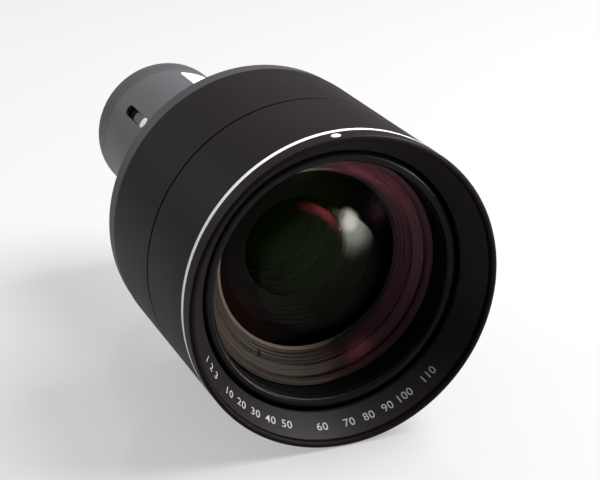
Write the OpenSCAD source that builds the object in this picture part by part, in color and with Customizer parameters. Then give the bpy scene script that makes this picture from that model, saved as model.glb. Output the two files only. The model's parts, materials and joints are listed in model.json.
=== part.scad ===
// Motorised zoom projection lens, lying on its hood with the optical axis level.
// The axis runs along Y: the front glass faces -Y and the spigot points to +Y.
// The origin is on the axis, at the rear face of the flange. Angles round the axis are
// in degrees from the top, growing towards +X.

/* [Hood] */
// Outer radius of the hood
hood_r = 60; // [59.5:0.5:66]
// Wall of the front shell
front_wall = 2.4; // [2:0.1:3]
// Wall of the rear shell
rear_wall = 3; // [2.6:0.1:3.4]
// Length of the front shell
front_shell_len = 46.75; // [45:0.25:52]
// Length of the rear shell
rear_shell_len = 41.95; // [41:0.05:48]
// Width of the seam between the two shells
seam_w = 0.9; // [0.5:0.1:1.5]
// Length of the spigot that reaches from the rear shell into the front one
spigot_len = 4.2; // [3:0.1:6]
// Wall of that spigot
spigot_wall = 2.3; // [1.8:0.1:2.6]
// Width of the white line round the hood
line_w = 2.2; // [1.5:0.1:3]
// Distance from the front rim to the middle of the white line
line_pos = 7.9; // [7:0.1:12]
// Radius of the index dot on top of the hood
dot_r = 1.8; // [1:0.1:2]
// Distance from the front rim to the middle of the index dot
dot_pos = 3.4; // [3.2:0.1:4.4]
// Depth of the paint-filled line, dots and label pocket
inlay = 0.3; // [0.2:0.05:0.5]

/* [Front trim] */
// Distance from the front rim to the outer edge of the lettered cone
letter_front = 2.2; // [1.5:0.1:4]
// Distance from the front rim to the inner edge of the lettered cone
letter_rear = 12; // [10:0.5:13]
// Thickness of the lettered ring at its inner edge
letter_t = 1.6; // [1:0.1:2.5]
// Length of the thread at the back of the lettered ring
letter_thread = 7; // [4:0.5:9]
// Width of the dark groove between the lettered ring and the lip
groove_w = 1.5; // [0.8:0.1:3]
// Distance from the front rim to the front of the lip
lip_depth = 13.1; // [12.5:0.1:15]
// Radius of the rounded front of the lip
bead_r = 1.75; // [1.5:0.05:2]
// Length of the lip ring
lip_len = 4.1; // [4:0.1:6]
// Wall of the inner tube behind the lip
tube_wall = 2.5; // [2:0.1:3]

/* [Front group] */
// Width of the trim from the hood's outside to the front glass
trim_w = 16; // [14.5:0.5:17]
// Thickness of the front glass at its edge
front_glass_t = 2; // [1.5:0.1:3]
// Curvature of its front face, as a share of its radius
front_glass_bulge = 2.5; // [2.2:0.05:3]
// Curvature of its hollow rear face, as a share of its radius
front_glass_hollow = 3.64; // [3.2:0.04:5]
// Distance from the front rim to the edge of the front glass
glass_depth = 26; // [24:0.5:28]
// Width of the ring that overlaps the edge of a glass
glass_lip = 0.8; // [0.5:0.1:1.5]
// Thickness of the ring that holds the front glass
retainer_t = 1.6; // [1:0.1:2.5]
// Wall of the front cell round the front glass
cell_wall = 1.5; // [1.2:0.1:2.5]
// Gap between the front cell and the inner tube
head_gap = 0.4; // [0.2:0.05:0.8]
// Length of the ridged ring behind the front glass
baffle_len = 3; // [2.5:0.1:4]
// Step from the front glass in to the ridged ring's seam
seam_step = 4.4; // [4:0.1:5]
// Width of the notched ring outside the seam
notched_lip = 0.9; // [0.6:0.1:1.2]
// Length of the notched ring
notched_len = 6.6; // [5:0.1:8]
// Step from the seam in to the notched ring's rear end
notched_slant = 3.6; // [3.2:0.1:4.4]
// Width of a spanner notch
notch_w = 1.8; // [1:0.1:3]
// Depth of a spanner notch
notch_d = 1.6; // [0.8:0.1:2.5]
// Depth of a light-trap ridge
ridge_d = 0.6; // [0.3:0.1:0.7]
// Width of the second glass that the notched ring covers
second_glass_lip = 1.5; // [1:0.1:2]
// Thickness of the second glass at its edge
second_glass_t = 5.8; // [4:0.1:5.9]
// Curvature of its front face, as a share of its radius
second_glass_bulge = 2; // [1.9:0.05:2.5]
// Curvature of its hollow rear face, as a share of its radius
second_glass_hollow = 1.6; // [1.5:0.05:2]
// Step from the second glass in to the outside of the stem
stem_step = 3.5; // [3:0.1:4]
// Wall of the stem
stem_wall = 3.4; // [3:0.1:4]
// Step from the stem's outside in to the third glass
third_step = 13; // [12:0.1:13.5]
// Thickness of the third glass at its edge
third_glass_t = 3; // [2:0.1:4]
// Curvature of its front face, as a share of its radius
third_glass_bulge = 2.15; // [2:0.05:3.5]
// Curvature of its rear face, as a share of its radius
third_glass_back = 4.3; // [3:0.1:7]
// Length of the ridged funnel in front of the third glass
funnel_len = 6; // [5:0.1:8]
// Length of the third cell
third_cell_len = 11; // [10:0.1:13]

/* [Focus drive] */
// Travel of the front group, half to each side of its rest place
focus_travel = 3; // [2:0.1:4]
// Turn of the focus ring over that travel, in degrees
focus_turn = 80; // [60:1:84]
// Thickness of the bulkhead
bulkhead_t = 3; // [2.5:0.1:4]
// Wall of the focus barrel
focus_wall = 2.4; // [2:0.1:3]
// Wall of the focus ring
focus_ring_wall = 2.6; // [2:0.1:3]

/* [Zoom drive] */
// Travel of the front zoom group
front_travel = 16; // [10:0.5:18]
// Turn of the zoom cam over the whole travel, in degrees
zoom_turn = 70; // [50:1:80]
// Place of the front zoom group's followers behind the flange
front_follower_y = 23; // [20:0.5:26]
// Length of the front zoom cell
front_zoom_len = 18; // [14:0.5:22]
// Length of the rear zoom cell
rear_zoom_len = 16; // [14:0.5:18]
// Wall of the zoom cells
zoom_cell_wall = 3; // [2.4:0.1:4]
// Wall of the zoom cam
cam_wall = 1.6; // [1.2:0.1:2]
// Gap between the zoom cam and the rear barrel
cam_gap = 0.4; // [0.2:0.05:0.8]
// Wall of the guide tube
guide_wall = 1.7; // [1.4:0.1:2.2]
// Radius of a cam follower
follower_r = 2; // [1.5:0.1:2.4]
// Gap between a follower and its slots
follower_gap = 0.12; // [0.08:0.01:0.2]

/* [Rear barrel] */
// Step from the hood's outside in to the rear barrel
barrel_step = 29.2; // [27:0.1:29.5]
// Wall of the rear barrel
barrel_wall = 1.8; // [1.4:0.1:2.4]
// How far the barrel's seat in the flange stands out from the barrel
barrel_shoulder = 0.6; // [0.4:0.1:0.8]
// Length of the rear barrel behind the flange
barrel_len = 107.5; // [106:0.5:116]
// Length of the rear ring
rear_ring_len = 5.9; // [4.6:0.1:9]
// Width of the rear ring's rear face
rear_ring_w = 10.3; // [9:0.1:12]
// Distance from the rear ring to the front end of the slot
slot_back = 38.8; // [37:0.1:40]
// Length of the slot
slot_len = 19.8; // [19:0.1:21]
// Width of the slot
slot_w = 4.8; // [4.4:0.1:6]
// Length of the key in the slot
key_len = 10.2; // [9:0.1:11]
// Gap between the key and each wall of the slot
key_gap = 0.3; // [0.15:0.05:0.4]
// How far the key lies below the surface
key_drop = 0.9; // [0.4:0.1:1.1]
// Radius of the white dot beside the slot
slot_dot_r = 2.4; // [1.5:0.1:2.6]
// Length of the blank label
label_len = 42; // [30:1:60]
// Width of the blank label round the barrel, in degrees
label_span = 38; // [20:1:50]
// Distance from the rear ring to the label
label_gap = 11.5; // [8:0.5:16]

/* [Flange] */
// Step from the hood down to the flange
flange_step = 0.4; // [0.2:0.1:1]
// Thickness of the flange
flange_t = 7.4; // [6.8:0.1:10]
// Step from the hood in to the circle of mounting holes
mount_step = 18; // [17:0.5:20]
// Radius of a mounting hole
mount_hole_r = 1.65; // [1.2:0.05:2.2]
// Depth of a mounting hole
mount_hole_d = 5; // [4:0.5:6]
// Radius of the locating pin
locating_r = 2; // [1.5:0.1:2.5]
// Radius of the locating pin where it is pressed into the flange
locating_seat_r = 2.6; // [2.6:0.1:3]
// Length of the locating pin behind the flange
locating_len = 5; // [3:0.5:8]
// Gap between the rear shell's bore and the circle of screws that hold the flange
shell_screw_in = 1.7; // [1.4:0.1:1.9]
// Radius of those screws
shell_screw_r = 1.1; // [0.9:0.1:1.2]
// Length of those screws below their heads
shell_screw_len = 10; // [8:0.5:12]

/* [Iris] */
// Step from the blade pivots in to the open iris
iris_step = 13.5; // [13:0.1:14.5]
// Width of a blade's band
blade_w = 9; // [8:0.1:9.4]
// Thickness of a blade
blade_t = 0.35; // [0.3:0.05:0.5]
// Gap between neighbouring blade levels
blade_gap = 0.3; // [0.2:0.05:0.4]
// Length of a blade's band round the axis, in degrees
blade_span = 112; // [100:1:120]
// Step from the gears' pitch circle in to the blade pivots
pivot_step = 7.6; // [7:0.1:8]
// Radius of a blade pin
blade_pin_r = 0.8; // [0.6:0.05:0.9]
// Turn of the iris ring from open to closed, in degrees
iris_turn = 40; // [30:1:44]
// Turn of a blade for each degree that the iris ring turns
blade_ratio = 0.6; // [0.4:0.05:0.6]
// Thickness of the iris base
iris_base_t = 1.6; // [1.2:0.1:2]
// Thickness of the iris ring
iris_ring_t = 1.6; // [1.2:0.1:2]
// Thickness of the iris cover
iris_cover_t = 1.2; // [1:0.1:2]
// Wall of the iris housing
iris_wall = 1.6; // [1.2:0.1:2]

/* [Gears and motors] */
// Step from the hood in to the pitch circle of the geared rings
gear_step_in = 18.4; // [18:0.1:18.8]
// Teeth on the full circle of each geared ring
ring_teeth = 104; // [102:1:106]
// Teeth on each pinion
pinion_teeth = 16; // [16:1:18]
// Width of a gear
gear_w = 3.4; // [2.8:0.1:4]
// Free play on each tooth flank
backlash = 0.06; // [0.04:0.01:0.12]
// Radius of a motor
motor_r = 5; // [4:0.1:5.2]
// Length of a motor with its gearbox
motor_len = 20; // [18:0.1:20.6]
// Length of the gearbox
gearbox_len = 7; // [5:0.5:9]
// Radius of a motor shaft
shaft_r = 1; // [0.8:0.05:1.2]
// Thickness of the motor holder
holder_t = 5; // [3:0.1:6]
// Length of the pillars that carry the motor holder
pillar_len = 19.6; // [18.6:0.1:20]
// Radius of a pillar
pillar_r = 2.1; // [1.6:0.1:2.2]

/* [Electronics] */
// Thickness of the circuit board
board_t = 1.6; // [1:0.1:2]
// Gap between the circuit board and the flange
board_gap = 3.4; // [3:0.1:5]
// Width of the connector
connector_w = 24; // [16:1:26]
// Height of the connector
connector_h = 8; // [6:0.1:8.4]
// How far the connector stands out behind the flange
connector_out = 4; // [2:0.1:8]

/* [Clearances] */
// Radial clearance of a running fit
run = 0.06; // [0.04:0.01:0.08]
// Gap between faces that turn or slide past each other
face_gap = 0.4; // [0.3:0.05:0.6]
// Gap round a glass in its cell
glass_fit = 0.1; // [0.05:0.05:0.2]

/* [Hidden] */
$fn = 96;

// Overrun of every cut, so that no skin is left
over = 0.5;
// Angle between neighbours where three or six pieces share a circle
third = 120;
sixth = 60;
// Angles round the axis of the marks, slot, label, motors, screws and followers
index_at = -3.9;
slot_at = -51;
label_at = 25;
notch_at = [-146, 38];
focus_motor_at = 214;
iris_motor_at = 180;
zoom_motor_at = 146;
motor_at = [focus_motor_at, iris_motor_at, zoom_motor_at];
pillar_at = [100, 163, 197, 260];
tube_screw_at = [30, 150, 270];
shell_screw_at = 45;
mount_hole_at = 22.5;
post_at = [-60, -27, 27, 60];
focus_follower_at = 90;
front_follower_at = 9;
holder_span = [92, 268];
board_span = [-74, 74];
// Extra teeth past each end of a geared sector
spare_teeth = 3;
// Number of ridges on each light-trap ring
baffle_ridges = 3;
notched_ridges = 4;
funnel_ridges = 6;
// Steps along a helical slot
helix_steps = 20;
// Points along a tooth flank and steps along a blade-pin slot
flank_steps = 3;
pin_slot_steps = 14;

// Small parts of the drives
gear_setback = 3.2;
gear_step = 0.2;
shaft_gap = 0.8;
boss_len = 1;
boss_r = 2.5;
hub_r = 3.2;
hub_len = 0.5;
head_r = 1.9;
head_t = 1.2;
tube_screw_r = 0.7;
tube_screw_head_r = 1.2;
tube_screw_len = 8;
holder_screw_r = 1;
holder_screw_len = 7;
screw_slot_w = 0.5;
screw_slot_d = 0.5;
chip_h = 1.4;
chip_w = 7;
chip_l = 4;
connector_wall = 1.2;
connector_recess = 3;
contact_r = 0.4;
contact_pitch = 2.2;
contact_rows = 2;
contact_columns = 8;
post_r = 2;
post_screw_r = 0.9;
board_margin = 0.3;
lug_w = 5.6;
lug_t = 3.4;
lug_len = 9;
shell_head_r = 1.9;
shell_head_t = 1.4;
pressure_angle = 20;
addendum_share = 0.9;
root_share = 1.25;
foot_share = 0.25;
flank_share = 0.12;
key_stem_r = 1.6;
follower_seat = 2.4;
cam_retainer_len = 4;
rear_cell_len = 12.5;
rear_cell_wall = 3.2;
rear_glass_t = 4;
rear_glass_curve = 60;
rear_glass_back = 120;
rear_retainer_t = 2;
rear_glass_set = 3.5;
zoom_glass_t = 4;
zoom_glass_curve = 38;
zoom_seat_w = 1.4;
rear_chamfer = 0.8;

// Radii that follow the hood
flange_r = hood_r - flange_step;
mount_circle_r = hood_r - mount_step;
barrel_r = hood_r - barrel_step;
barrel_seat_r = barrel_r + barrel_shoulder;
rear_ring_bore = barrel_r - rear_ring_w;
front_glass_r = hood_r - trim_w;
seam_r = front_glass_r - seam_step;
notched_r = seam_r + notched_lip;
notched_bore_r = seam_r - notched_slant;
second_glass_r = notched_bore_r + second_glass_lip;
stem_r = second_glass_r - stem_step;
third_glass_r = stem_r - third_step;
// Curvatures of the glasses in the front group
front_curve = front_glass_bulge * front_glass_r;
front_hollow = front_glass_hollow * front_glass_r;
second_curve = second_glass_bulge * second_glass_r;
second_hollow = second_glass_hollow * second_glass_r;
third_curve = third_glass_bulge * third_glass_r;
third_back = third_glass_back * third_glass_r;

// Places along the axis, from the rear face of the flange, front is negative
flange_front = -flange_t;
shell_seat = flange_front - rear_shell_len;
front_shell_rear = shell_seat - seam_w;
rim = front_shell_rear - front_shell_len;
lip_front = rim + lip_depth;
lip_rear = lip_front + lip_len;
bulkhead_rear = shell_seat + bulkhead_t;
rear_end = barrel_len + rear_ring_len;

// The drives, counted forward from the flange
zoom_gear_rear = flange_front - gear_setback;
zoom_gear_front = zoom_gear_rear - gear_w;
iris_base_rear = zoom_gear_front - face_gap;
iris_base_front = iris_base_rear - iris_base_t;
blade_pitch = blade_t + blade_gap;
blade_count = 6;
iris_ring_rear = iris_base_front - blade_count * blade_pitch - blade_gap;
iris_ring_front = iris_ring_rear - iris_ring_t;
iris_cover_rear = iris_ring_front - blade_gap;
iris_cover_front = iris_cover_rear - iris_cover_t;
focus_ring_front = bulkhead_rear + face_gap;
focus_ring_rear = iris_cover_front - face_gap;
holder_rear = flange_front - pillar_len;
holder_front = holder_rear - holder_t;
board_rear = flange_front - board_gap;
board_front = board_rear - board_t;

// The front group
glass_edge = rim + glass_depth;
front_glass_rear = glass_edge + front_glass_t;
retainer_rear = glass_edge - sag(front_curve, front_glass_r)
    + sag(front_curve, front_glass_r - glass_lip);
cell_front = retainer_rear - retainer_t;
baffle_rear = front_glass_rear + baffle_len;
notched_front = baffle_rear + face_gap;
notched_rear = notched_front + notched_len;
second_glass_front = notched_rear + sag(second_curve, second_glass_r)
    - sag(second_curve, notched_bore_r);
second_glass_rear = second_glass_front + second_glass_t;
head_rear = shell_seat - focus_travel / 2 - face_gap;
stem_rear = iris_cover_front - focus_travel / 2 - face_gap;
third_cell_front = second_glass_rear + face_gap;
third_seat = third_cell_front + funnel_len;
third_glass_front = third_seat + sag(third_curve, third_glass_r)
    - sag(third_curve, third_glass_r - glass_lip);
third_cell_rear = third_cell_front + third_cell_len;
focus_follower_y = (focus_ring_front + gear_w + focus_ring_rear) / 2;

// The zoom groups
slot_front = barrel_len - slot_back;
label_rear = barrel_len - label_gap;
key_y = slot_front + key_gap + key_len / 2;
rear_travel = slot_len - key_len - 2 * key_gap;
rear_cell_front = barrel_len - rear_cell_len;
cam_rear = rear_cell_front - face_gap;
rear_glass_front = rear_cell_front + rear_glass_set;

// Radii of the front part, from the front glass outwards
front_bore_r = front_glass_r + glass_fit;
head_out_r = front_bore_r + cell_wall;
tube_r = head_out_r + head_gap;
lip_out_r = tube_r + 2 * bead_r;
letter_bore_r = lip_out_r + groove_w;
shell_bore_r = hood_r - front_wall;
rear_bore_r = hood_r - rear_wall;
lug_r = rear_bore_r - lug_t;
shell_screw_circle = rear_bore_r - shell_screw_in;
// Radii of the focus drive, from the stem outwards
focus_bore_r = stem_r + run;
focus_out_r = focus_bore_r + focus_wall;
focus_ring_r = focus_out_r + run + focus_ring_wall;
// Radii of the zoom drive, from the rear barrel inwards
barrel_bore_r = barrel_r - barrel_wall;
cam_r = barrel_bore_r - cam_gap;
cam_bore_r = cam_r - cam_wall;
guide_r = cam_bore_r - run;
guide_bore_r = guide_r - guide_wall;
zoom_cell_r = guide_bore_r - run;
zoom_bore_r = zoom_cell_r - zoom_cell_wall;
rear_glass_r = guide_bore_r - rear_cell_wall;
// Radii of the gears
ring_pitch_r = hood_r - gear_step_in;
module_mm = 2 * ring_pitch_r / ring_teeth;
pinion_pitch_r = module_mm * pinion_teeth / 2;
centre_r = ring_pitch_r + pinion_pitch_r;
ring_tip_r = ring_pitch_r + addendum_share * module_mm;
ring_root_r = ring_pitch_r - root_share * module_mm;
pinion_tip_r = pinion_pitch_r + addendum_share * module_mm;
pinion_root_r = pinion_pitch_r - root_share * module_mm;
tooth_step = 360 / ring_teeth;
iris_wall_bore_r = ring_tip_r + 2 * face_gap;
iris_out_r = iris_wall_bore_r + iris_wall;
// Iris blades
pivot_circle = ring_pitch_r - pivot_step;
iris_open_r = pivot_circle - iris_step;
band_in_r = iris_open_r + blade_t;
band_out_r = band_in_r + blade_w;
tab_out_r = pivot_circle + 2 * blade_pin_r;
drive_pin_at = 9;
tab_span = [-3.5, 12.5];
band_at = -2;

// Height of a spherical cap of a given curvature at a given radius
function sag(curve, r) = curve - sqrt(curve * curve - r * r);
// A point on a circle in the plane
function polar(r, a) = [r * cos(a), r * sin(a)];
// Zigzag from one point to another, with grooves cut outwards
function ridges(a, b, count, depth) =
    [for (i = [0 : 2 * count]) a + (b - a) * i / (2 * count) + [i % 2 * depth, 0]];
// Involute of an angle, in degrees
function involute(a) = (tan(a) - a * PI / 180) * 180 / PI;
// Half the angle that a tooth covers at a radius, in degrees
function tooth_half(teeth, r) =
    let (pitch_r = module_mm * teeth / 2, base_r = pitch_r * cos(pressure_angle))
    90 / teeth - backlash / pitch_r * 180 / PI + involute(pressure_angle)
        - involute(acos(min(1, base_r / r)));
// One gear tooth, centred on an angle
function tooth(teeth, root_r, tip_r, a) =
    let (
        base_r = module_mm * teeth / 2 * cos(pressure_angle),
        low_r = max(base_r, root_r - flank_share * module_mm),
        flank = [for (i = [0 : flank_steps]) low_r + (tip_r - low_r) * i / flank_steps],
        root_half = tooth_half(teeth, low_r)
    )
    concat(
        [polar(root_r - foot_share * module_mm, a - root_half)],
        [for (r = flank) polar(r, a - tooth_half(teeth, r))],
        [for (i = [flank_steps : -1 : 0]) polar(flank[i], a + tooth_half(teeth, flank[i]))],
        [polar(root_r - foot_share * module_mm, a + root_half)]
    );
// Centre of a blade's drive pin while the ring has turned, seen on the ring
function pin_on_ring(t) =
    let (
        pivot = polar(pivot_circle, 0),
        arm = polar(pivot_circle, drive_pin_at) - pivot,
        b = t * blade_ratio,
        p = pivot + [arm.x * cos(b) - arm.y * sin(b), arm.x * sin(b) + arm.y * cos(b)]
    )
    [p.x * cos(t) + p.y * sin(t), -p.x * sin(t) + p.y * cos(t)];

// Stands the working axis on Y
module on_axis() {
    rotate([-90, 0, 0])
        children();
}

// Turns a child that is drawn along X to an angle round the axis
module at(angle) {
    rotate([0, 0, angle - 90])
        children();
}

// A pipe from one place on the axis to another
module pipe(r_out, r_in, from, to) {
    translate([0, 0, from])
        difference() {
            cylinder(r = r_out, h = to - from);
            translate([0, 0, -over])
                cylinder(r = r_in, h = to - from + 2 * over);
        }
}

// A disc or rod on the axis
module rod(r, from, to) {
    translate([0, 0, from])
        cylinder(r = r, h = to - from);
}

// A rod that stands out from the axis
module spoke(angle, y, r, from, to) {
    at(angle)
        translate([from, 0, y])
            rotate([0, 90, 0])
                cylinder(r = r, h = to - from, $fn = 48);
}

// A rod beside the axis and parallel to it
module side_rod(angle, circle_r, r, from, to) {
    at(angle)
        translate([circle_r, 0, from])
            cylinder(r = r, h = to - from, $fn = 48);
}

// A round mark that fills a shallow pocket in a surface of radius r, up to a given radius
module dot(angle, y, size, r, up_to) {
    intersection() {
        pipe(up_to, r - inlay, y - 2 * size, y + 2 * size);
        spoke(angle, y, size, r - 2 * inlay, up_to + over);
    }
}

// A wedge of space between two angles, for sectors
module wedge(from_angle, to_angle, r, from, to) {
    steps = 4;
    rotate([0, 0, -90])
        translate([0, 0, from])
            linear_extrude(to - from)
                polygon(concat([[0, 0]], [for (i = [0 : steps])
                    polar(r / cos((to_angle - from_angle) / steps / 2),
                        from_angle + (to_angle - from_angle) * i / steps)]));
}

// A bar along the axis with round ends, which cuts a slot or makes a key
module straight_slot(angle, half_w, from, to, r_in, r_out) {
    for (y = [from, to])
        spoke(angle, y, half_w, r_in, r_out);
    at(angle)
        translate([r_in, -half_w, from])
            cube([r_out - r_in, 2 * half_w, to - from]);
}

// A helical slot that lets a follower slide by travel while its ring turns by turn
module helical_slot(angle, y, travel, turn_from, turn_to, half_w, r_in, r_out) {
    turn = turn_to - turn_from;
    mean_r = (r_in + r_out) / 2;
    arc = mean_r * turn * PI / 180;
    slant = norm([arc, travel]);
    extra = half_w / slant;
    across = [travel, arc] / slant * half_w;
    side_shares = [[r_in, -1], [r_out, -1], [r_out, 1], [r_in, 1]];
    points = [for (i = [0 : helix_steps], side = side_shares)
        let (
            t = -extra + (1 + 2 * extra) * i / helix_steps,
            a = angle - 90 - turn_from - t * turn + side[1] * across[0] / side[0] * 180 / PI
        )
        [side[0] * cos(a), side[0] * sin(a), y + t * travel + side[1] * across[1]]];
    last = 4 * helix_steps;
    walls = [for (i = [0 : helix_steps - 1], k = [0 : 3], half = [0, 1])
        let (p = 4 * i + k, q = 4 * i + (k + 1) % 4)
        half == 0 ? [p, p + 4, q] : [q, p + 4, q + 4]];
    polyhedron(points, concat(walls, [[0, 1, 2], [0, 2, 3]],
        [[last, last + 2, last + 1], [last, last + 3, last + 2]]));
}

// A round glass between two edge planes, with a bulge or a hollow on each side
module lens(r, from, to, bulge_front = 0, hollow_front = 0, bulge_rear = 0, hollow_rear = 0) {
    front = from - (bulge_front > 0 ? sag(bulge_front, r) : 0);
    rear = to + (bulge_rear > 0 ? sag(bulge_rear, r) : 0);
    clear_r = r - glass_lip;
    difference() {
        intersection() {
            rod(r, front, rear);
            if (bulge_front > 0)
                translate([0, 0, front + bulge_front])
                    sphere(r = bulge_front, $fn = 180);
            else
                rod(r, front, rear);
            if (bulge_rear > 0)
                translate([0, 0, rear - bulge_rear])
                    sphere(r = bulge_rear, $fn = 180);
            else
                rod(r, front, rear);
        }
        if (hollow_front > 0)
            translate([0, 0, from + sag(hollow_front, clear_r) - hollow_front])
                sphere(r = hollow_front, $fn = 180);
        if (hollow_rear > 0)
            translate([0, 0, to - sag(hollow_rear, clear_r) + hollow_rear])
                sphere(r = hollow_rear, $fn = 180);
    }
}

// A geared ring with teeth from one number to another, tooth 0 at the pinion
module geared_ring(angle, first, last, bore_r, from, to) {
    translate([0, 0, from])
        linear_extrude(to - from)
            difference() {
                union() {
                    circle(r = ring_root_r);
                    for (i = [first : last])
                        polygon(tooth(ring_teeth, ring_root_r, ring_tip_r,
                            angle - 90 + i * tooth_step));
                }
                circle(r = bore_r);
            }
}

// A motor pinion with its hub and shaft, the shaft pointing to its motor
module pinion(angle, from, to, motor_side) {
    face = motor_side > 0 ? to : from;
    at(angle)
        translate([centre_r, 0, 0]) {
            translate([0, 0, from])
                linear_extrude(to - from)
                    union() {
                        circle(r = pinion_root_r, $fn = 48);
                        for (i = [0 : pinion_teeth - 1])
                            polygon(tooth(pinion_teeth, pinion_root_r, pinion_tip_r,
                                180 + (i + 0.5) * 360 / pinion_teeth));
                    }
            mirror([0, 0, motor_side > 0 ? 0 : 1])
                translate([0, 0, motor_side * face]) {
                    cylinder(r = hub_r, h = hub_len, $fn = 48);
                    cylinder(r = shaft_r, h = gearbox_len - boss_len, $fn = 48);
                }
        }
}

// A motor with its gearbox, whose face looks at its pinion
module motor(angle, face, direction) {
    at(angle)
        translate([centre_r, 0, face])
            mirror([0, 0, direction > 0 ? 0 : 1])
                difference() {
                    union() {
                        cylinder(r = motor_r, h = gearbox_len, $fn = 48);
                        translate([0, 0, gearbox_len])
                            cylinder(r = motor_r - face_gap, h = motor_len - gearbox_len - boss_len,
                                $fn = 48);
                        translate([0, 0, motor_len - boss_len])
                            cylinder(r = boss_r, h = boss_len, $fn = 48);
                    }
                    translate([0, 0, -over])
                        cylinder(r = shaft_r + run, h = gearbox_len + over, $fn = 48);
                }
}

// A screw parallel to the axis: a slotted head whose top looks towards a side, and its shank
module screw(angle, circle_r, seat, side, r, length, top_r, top_t) {
    at(angle)
        translate([circle_r, 0, seat])
            mirror([0, 0, side > 0 ? 0 : 1]) {
                difference() {
                    cylinder(r = top_r, h = top_t, $fn = 48);
                    translate([-top_r, -screw_slot_w / 2, top_t - screw_slot_d])
                        cube([2 * top_r, screw_slot_w, top_t]);
                }
                translate([0, 0, -length])
                    cylinder(r = r, h = length, $fn = 48);
            }
}

module front_shell() {
    round_r = front_wall / 2;
    color("dimgray")
        on_axis()
            difference() {
                rotate_extrude() {
                    translate([hood_r - round_r, rim + round_r])
                        circle(r = round_r, $fn = 48);
                    translate([shell_bore_r, rim + round_r])
                        square([front_wall, front_shell_len - round_r]);
                }
                pipe(hood_r + over, hood_r - inlay, rim + line_pos - line_w / 2,
                    rim + line_pos + line_w / 2);
                dot(index_at, rim + dot_pos, dot_r, hood_r, hood_r + over);
            }
}

module rear_shell() {
    spigot_front = front_shell_rear - spigot_len;
    color("dimgray")
        on_axis()
            difference() {
                union() {
                    rotate_extrude()
                        polygon([
                            [shell_bore_r - spigot_wall, spigot_front],
                            [shell_bore_r, spigot_front],
                            [shell_bore_r, shell_seat],
                            [hood_r, shell_seat],
                            [hood_r, flange_front],
                            [rear_bore_r, flange_front],
                            [rear_bore_r, shell_seat],
                            [shell_bore_r - spigot_wall, shell_seat]
                        ]);
                    for (i = [0 : 5])
                        at(shell_screw_at + i * sixth)
                            translate([lug_r, -lug_w / 2, flange_front - lug_len])
                                cube([lug_t + rear_wall / 2, lug_w, lug_len]);
                }
                for (i = [0 : 5])
                    side_rod(shell_screw_at + i * sixth, shell_screw_circle, shell_screw_r + run,
                        flange_front - lug_len - over, flange_front + over);
            }
}

module white_line() {
    color("white")
        on_axis()
            pipe(hood_r, hood_r - inlay, rim + line_pos - line_w / 2,
                rim + line_pos + line_w / 2);
}

module index_dot() {
    color("white")
        on_axis()
            dot(index_at, rim + dot_pos, dot_r, hood_r, hood_r);
}

module letter_ring() {
    color("dimgray")
        on_axis()
            rotate_extrude()
                polygon([
                    [shell_bore_r, rim + letter_front],
                    [letter_bore_r, rim + letter_rear],
                    [letter_bore_r, rim + letter_rear + letter_t],
                    [(letter_bore_r + shell_bore_r) / 2, rim + letter_rear + letter_t],
                    [shell_bore_r, rim + letter_front + letter_thread]
                ]);
}

module lip_ring() {
    color("gray")
        on_axis()
            rotate_extrude() {
                translate([tube_r + bead_r, lip_front + bead_r])
                    circle(r = bead_r, $fn = 48);
                translate([tube_r, lip_front + bead_r])
                    square([2 * bead_r, lip_len - bead_r]);
            }
}

module inner_tube() {
    color("black")
        on_axis()
            difference() {
                pipe(tube_r + tube_wall, tube_r, lip_rear, shell_seat);
                for (angle = tube_screw_at)
                    side_rod(angle, tube_r + tube_wall / 2, tube_screw_r,
                        shell_seat - tube_screw_len, shell_seat + over);
            }
}

module flange() {
    color("gray")
        on_axis()
            difference() {
                union() {
                    pipe(flange_r, barrel_seat_r, flange_front, 0);
                    for (angle = post_at)
                        side_rod(angle, post_circle(), post_r, board_rear, flange_front + over);
                }
                for (i = [0 : 3])
                    side_rod(mount_hole_at + i * 90, mount_circle_r, mount_hole_r,
                        -mount_hole_d, over);
                for (i = [0 : 5]) {
                    side_rod(shell_screw_at + i * sixth, shell_screw_circle, shell_screw_r + run,
                        flange_front - over, over);
                    side_rod(shell_screw_at + i * sixth, shell_screw_circle, shell_head_r + run,
                        -shell_head_t, over);
                }
                side_rod(180, post_circle(), locating_seat_r, -mount_hole_d, over);
                at(0)
                    translate([post_circle() - connector_h / 2 - run, -connector_w / 2 - run,
                        flange_front - over])
                        cube([connector_h + 2 * run, connector_w + 2 * run, flange_t + 2 * over]);
            }
}

// Radius of the circle on which the board posts, the connector and the locating pin lie
function post_circle() = (ring_tip_r + lug_r) / 2;

module rear_barrel() {
    color("gray")
        on_axis()
            difference() {
                rotate_extrude()
                    polygon([
                        [barrel_bore_r, flange_front],
                        [barrel_seat_r, flange_front],
                        [barrel_seat_r, 0],
                        [barrel_r, 0],
                        [barrel_r, barrel_len],
                        [barrel_bore_r, barrel_len]
                    ]);
                straight_slot(slot_at, slot_w / 2, slot_front + slot_w / 2,
                    slot_front + slot_len - slot_w / 2, barrel_bore_r - over, barrel_r + over);
                dot(slot_at, slot_front - slot_dot_r - key_gap, slot_dot_r, barrel_r,
                    barrel_r + over);
                intersection() {
                    pipe(barrel_r + over, barrel_r - inlay / 2, label_rear - label_len, label_rear);
                    wedge(label_at - label_span / 2, label_at + label_span / 2, barrel_r + over,
                        0, barrel_len);
                }
            }
}

module rear_ring() {
    color("dimgray")
        on_axis()
            rotate_extrude()
                polygon([
                    [rear_ring_bore, barrel_len],
                    [barrel_r, barrel_len],
                    [barrel_r, rear_end - rear_chamfer],
                    [barrel_r - rear_chamfer, rear_end],
                    [rear_ring_bore + rear_chamfer, rear_end],
                    [rear_ring_bore, rear_end - rear_chamfer]
                ]);
}

module slot_dot() {
    color("white")
        on_axis()
            dot(slot_at, slot_front - slot_dot_r - key_gap, slot_dot_r, barrel_r, barrel_r);
}

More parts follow.
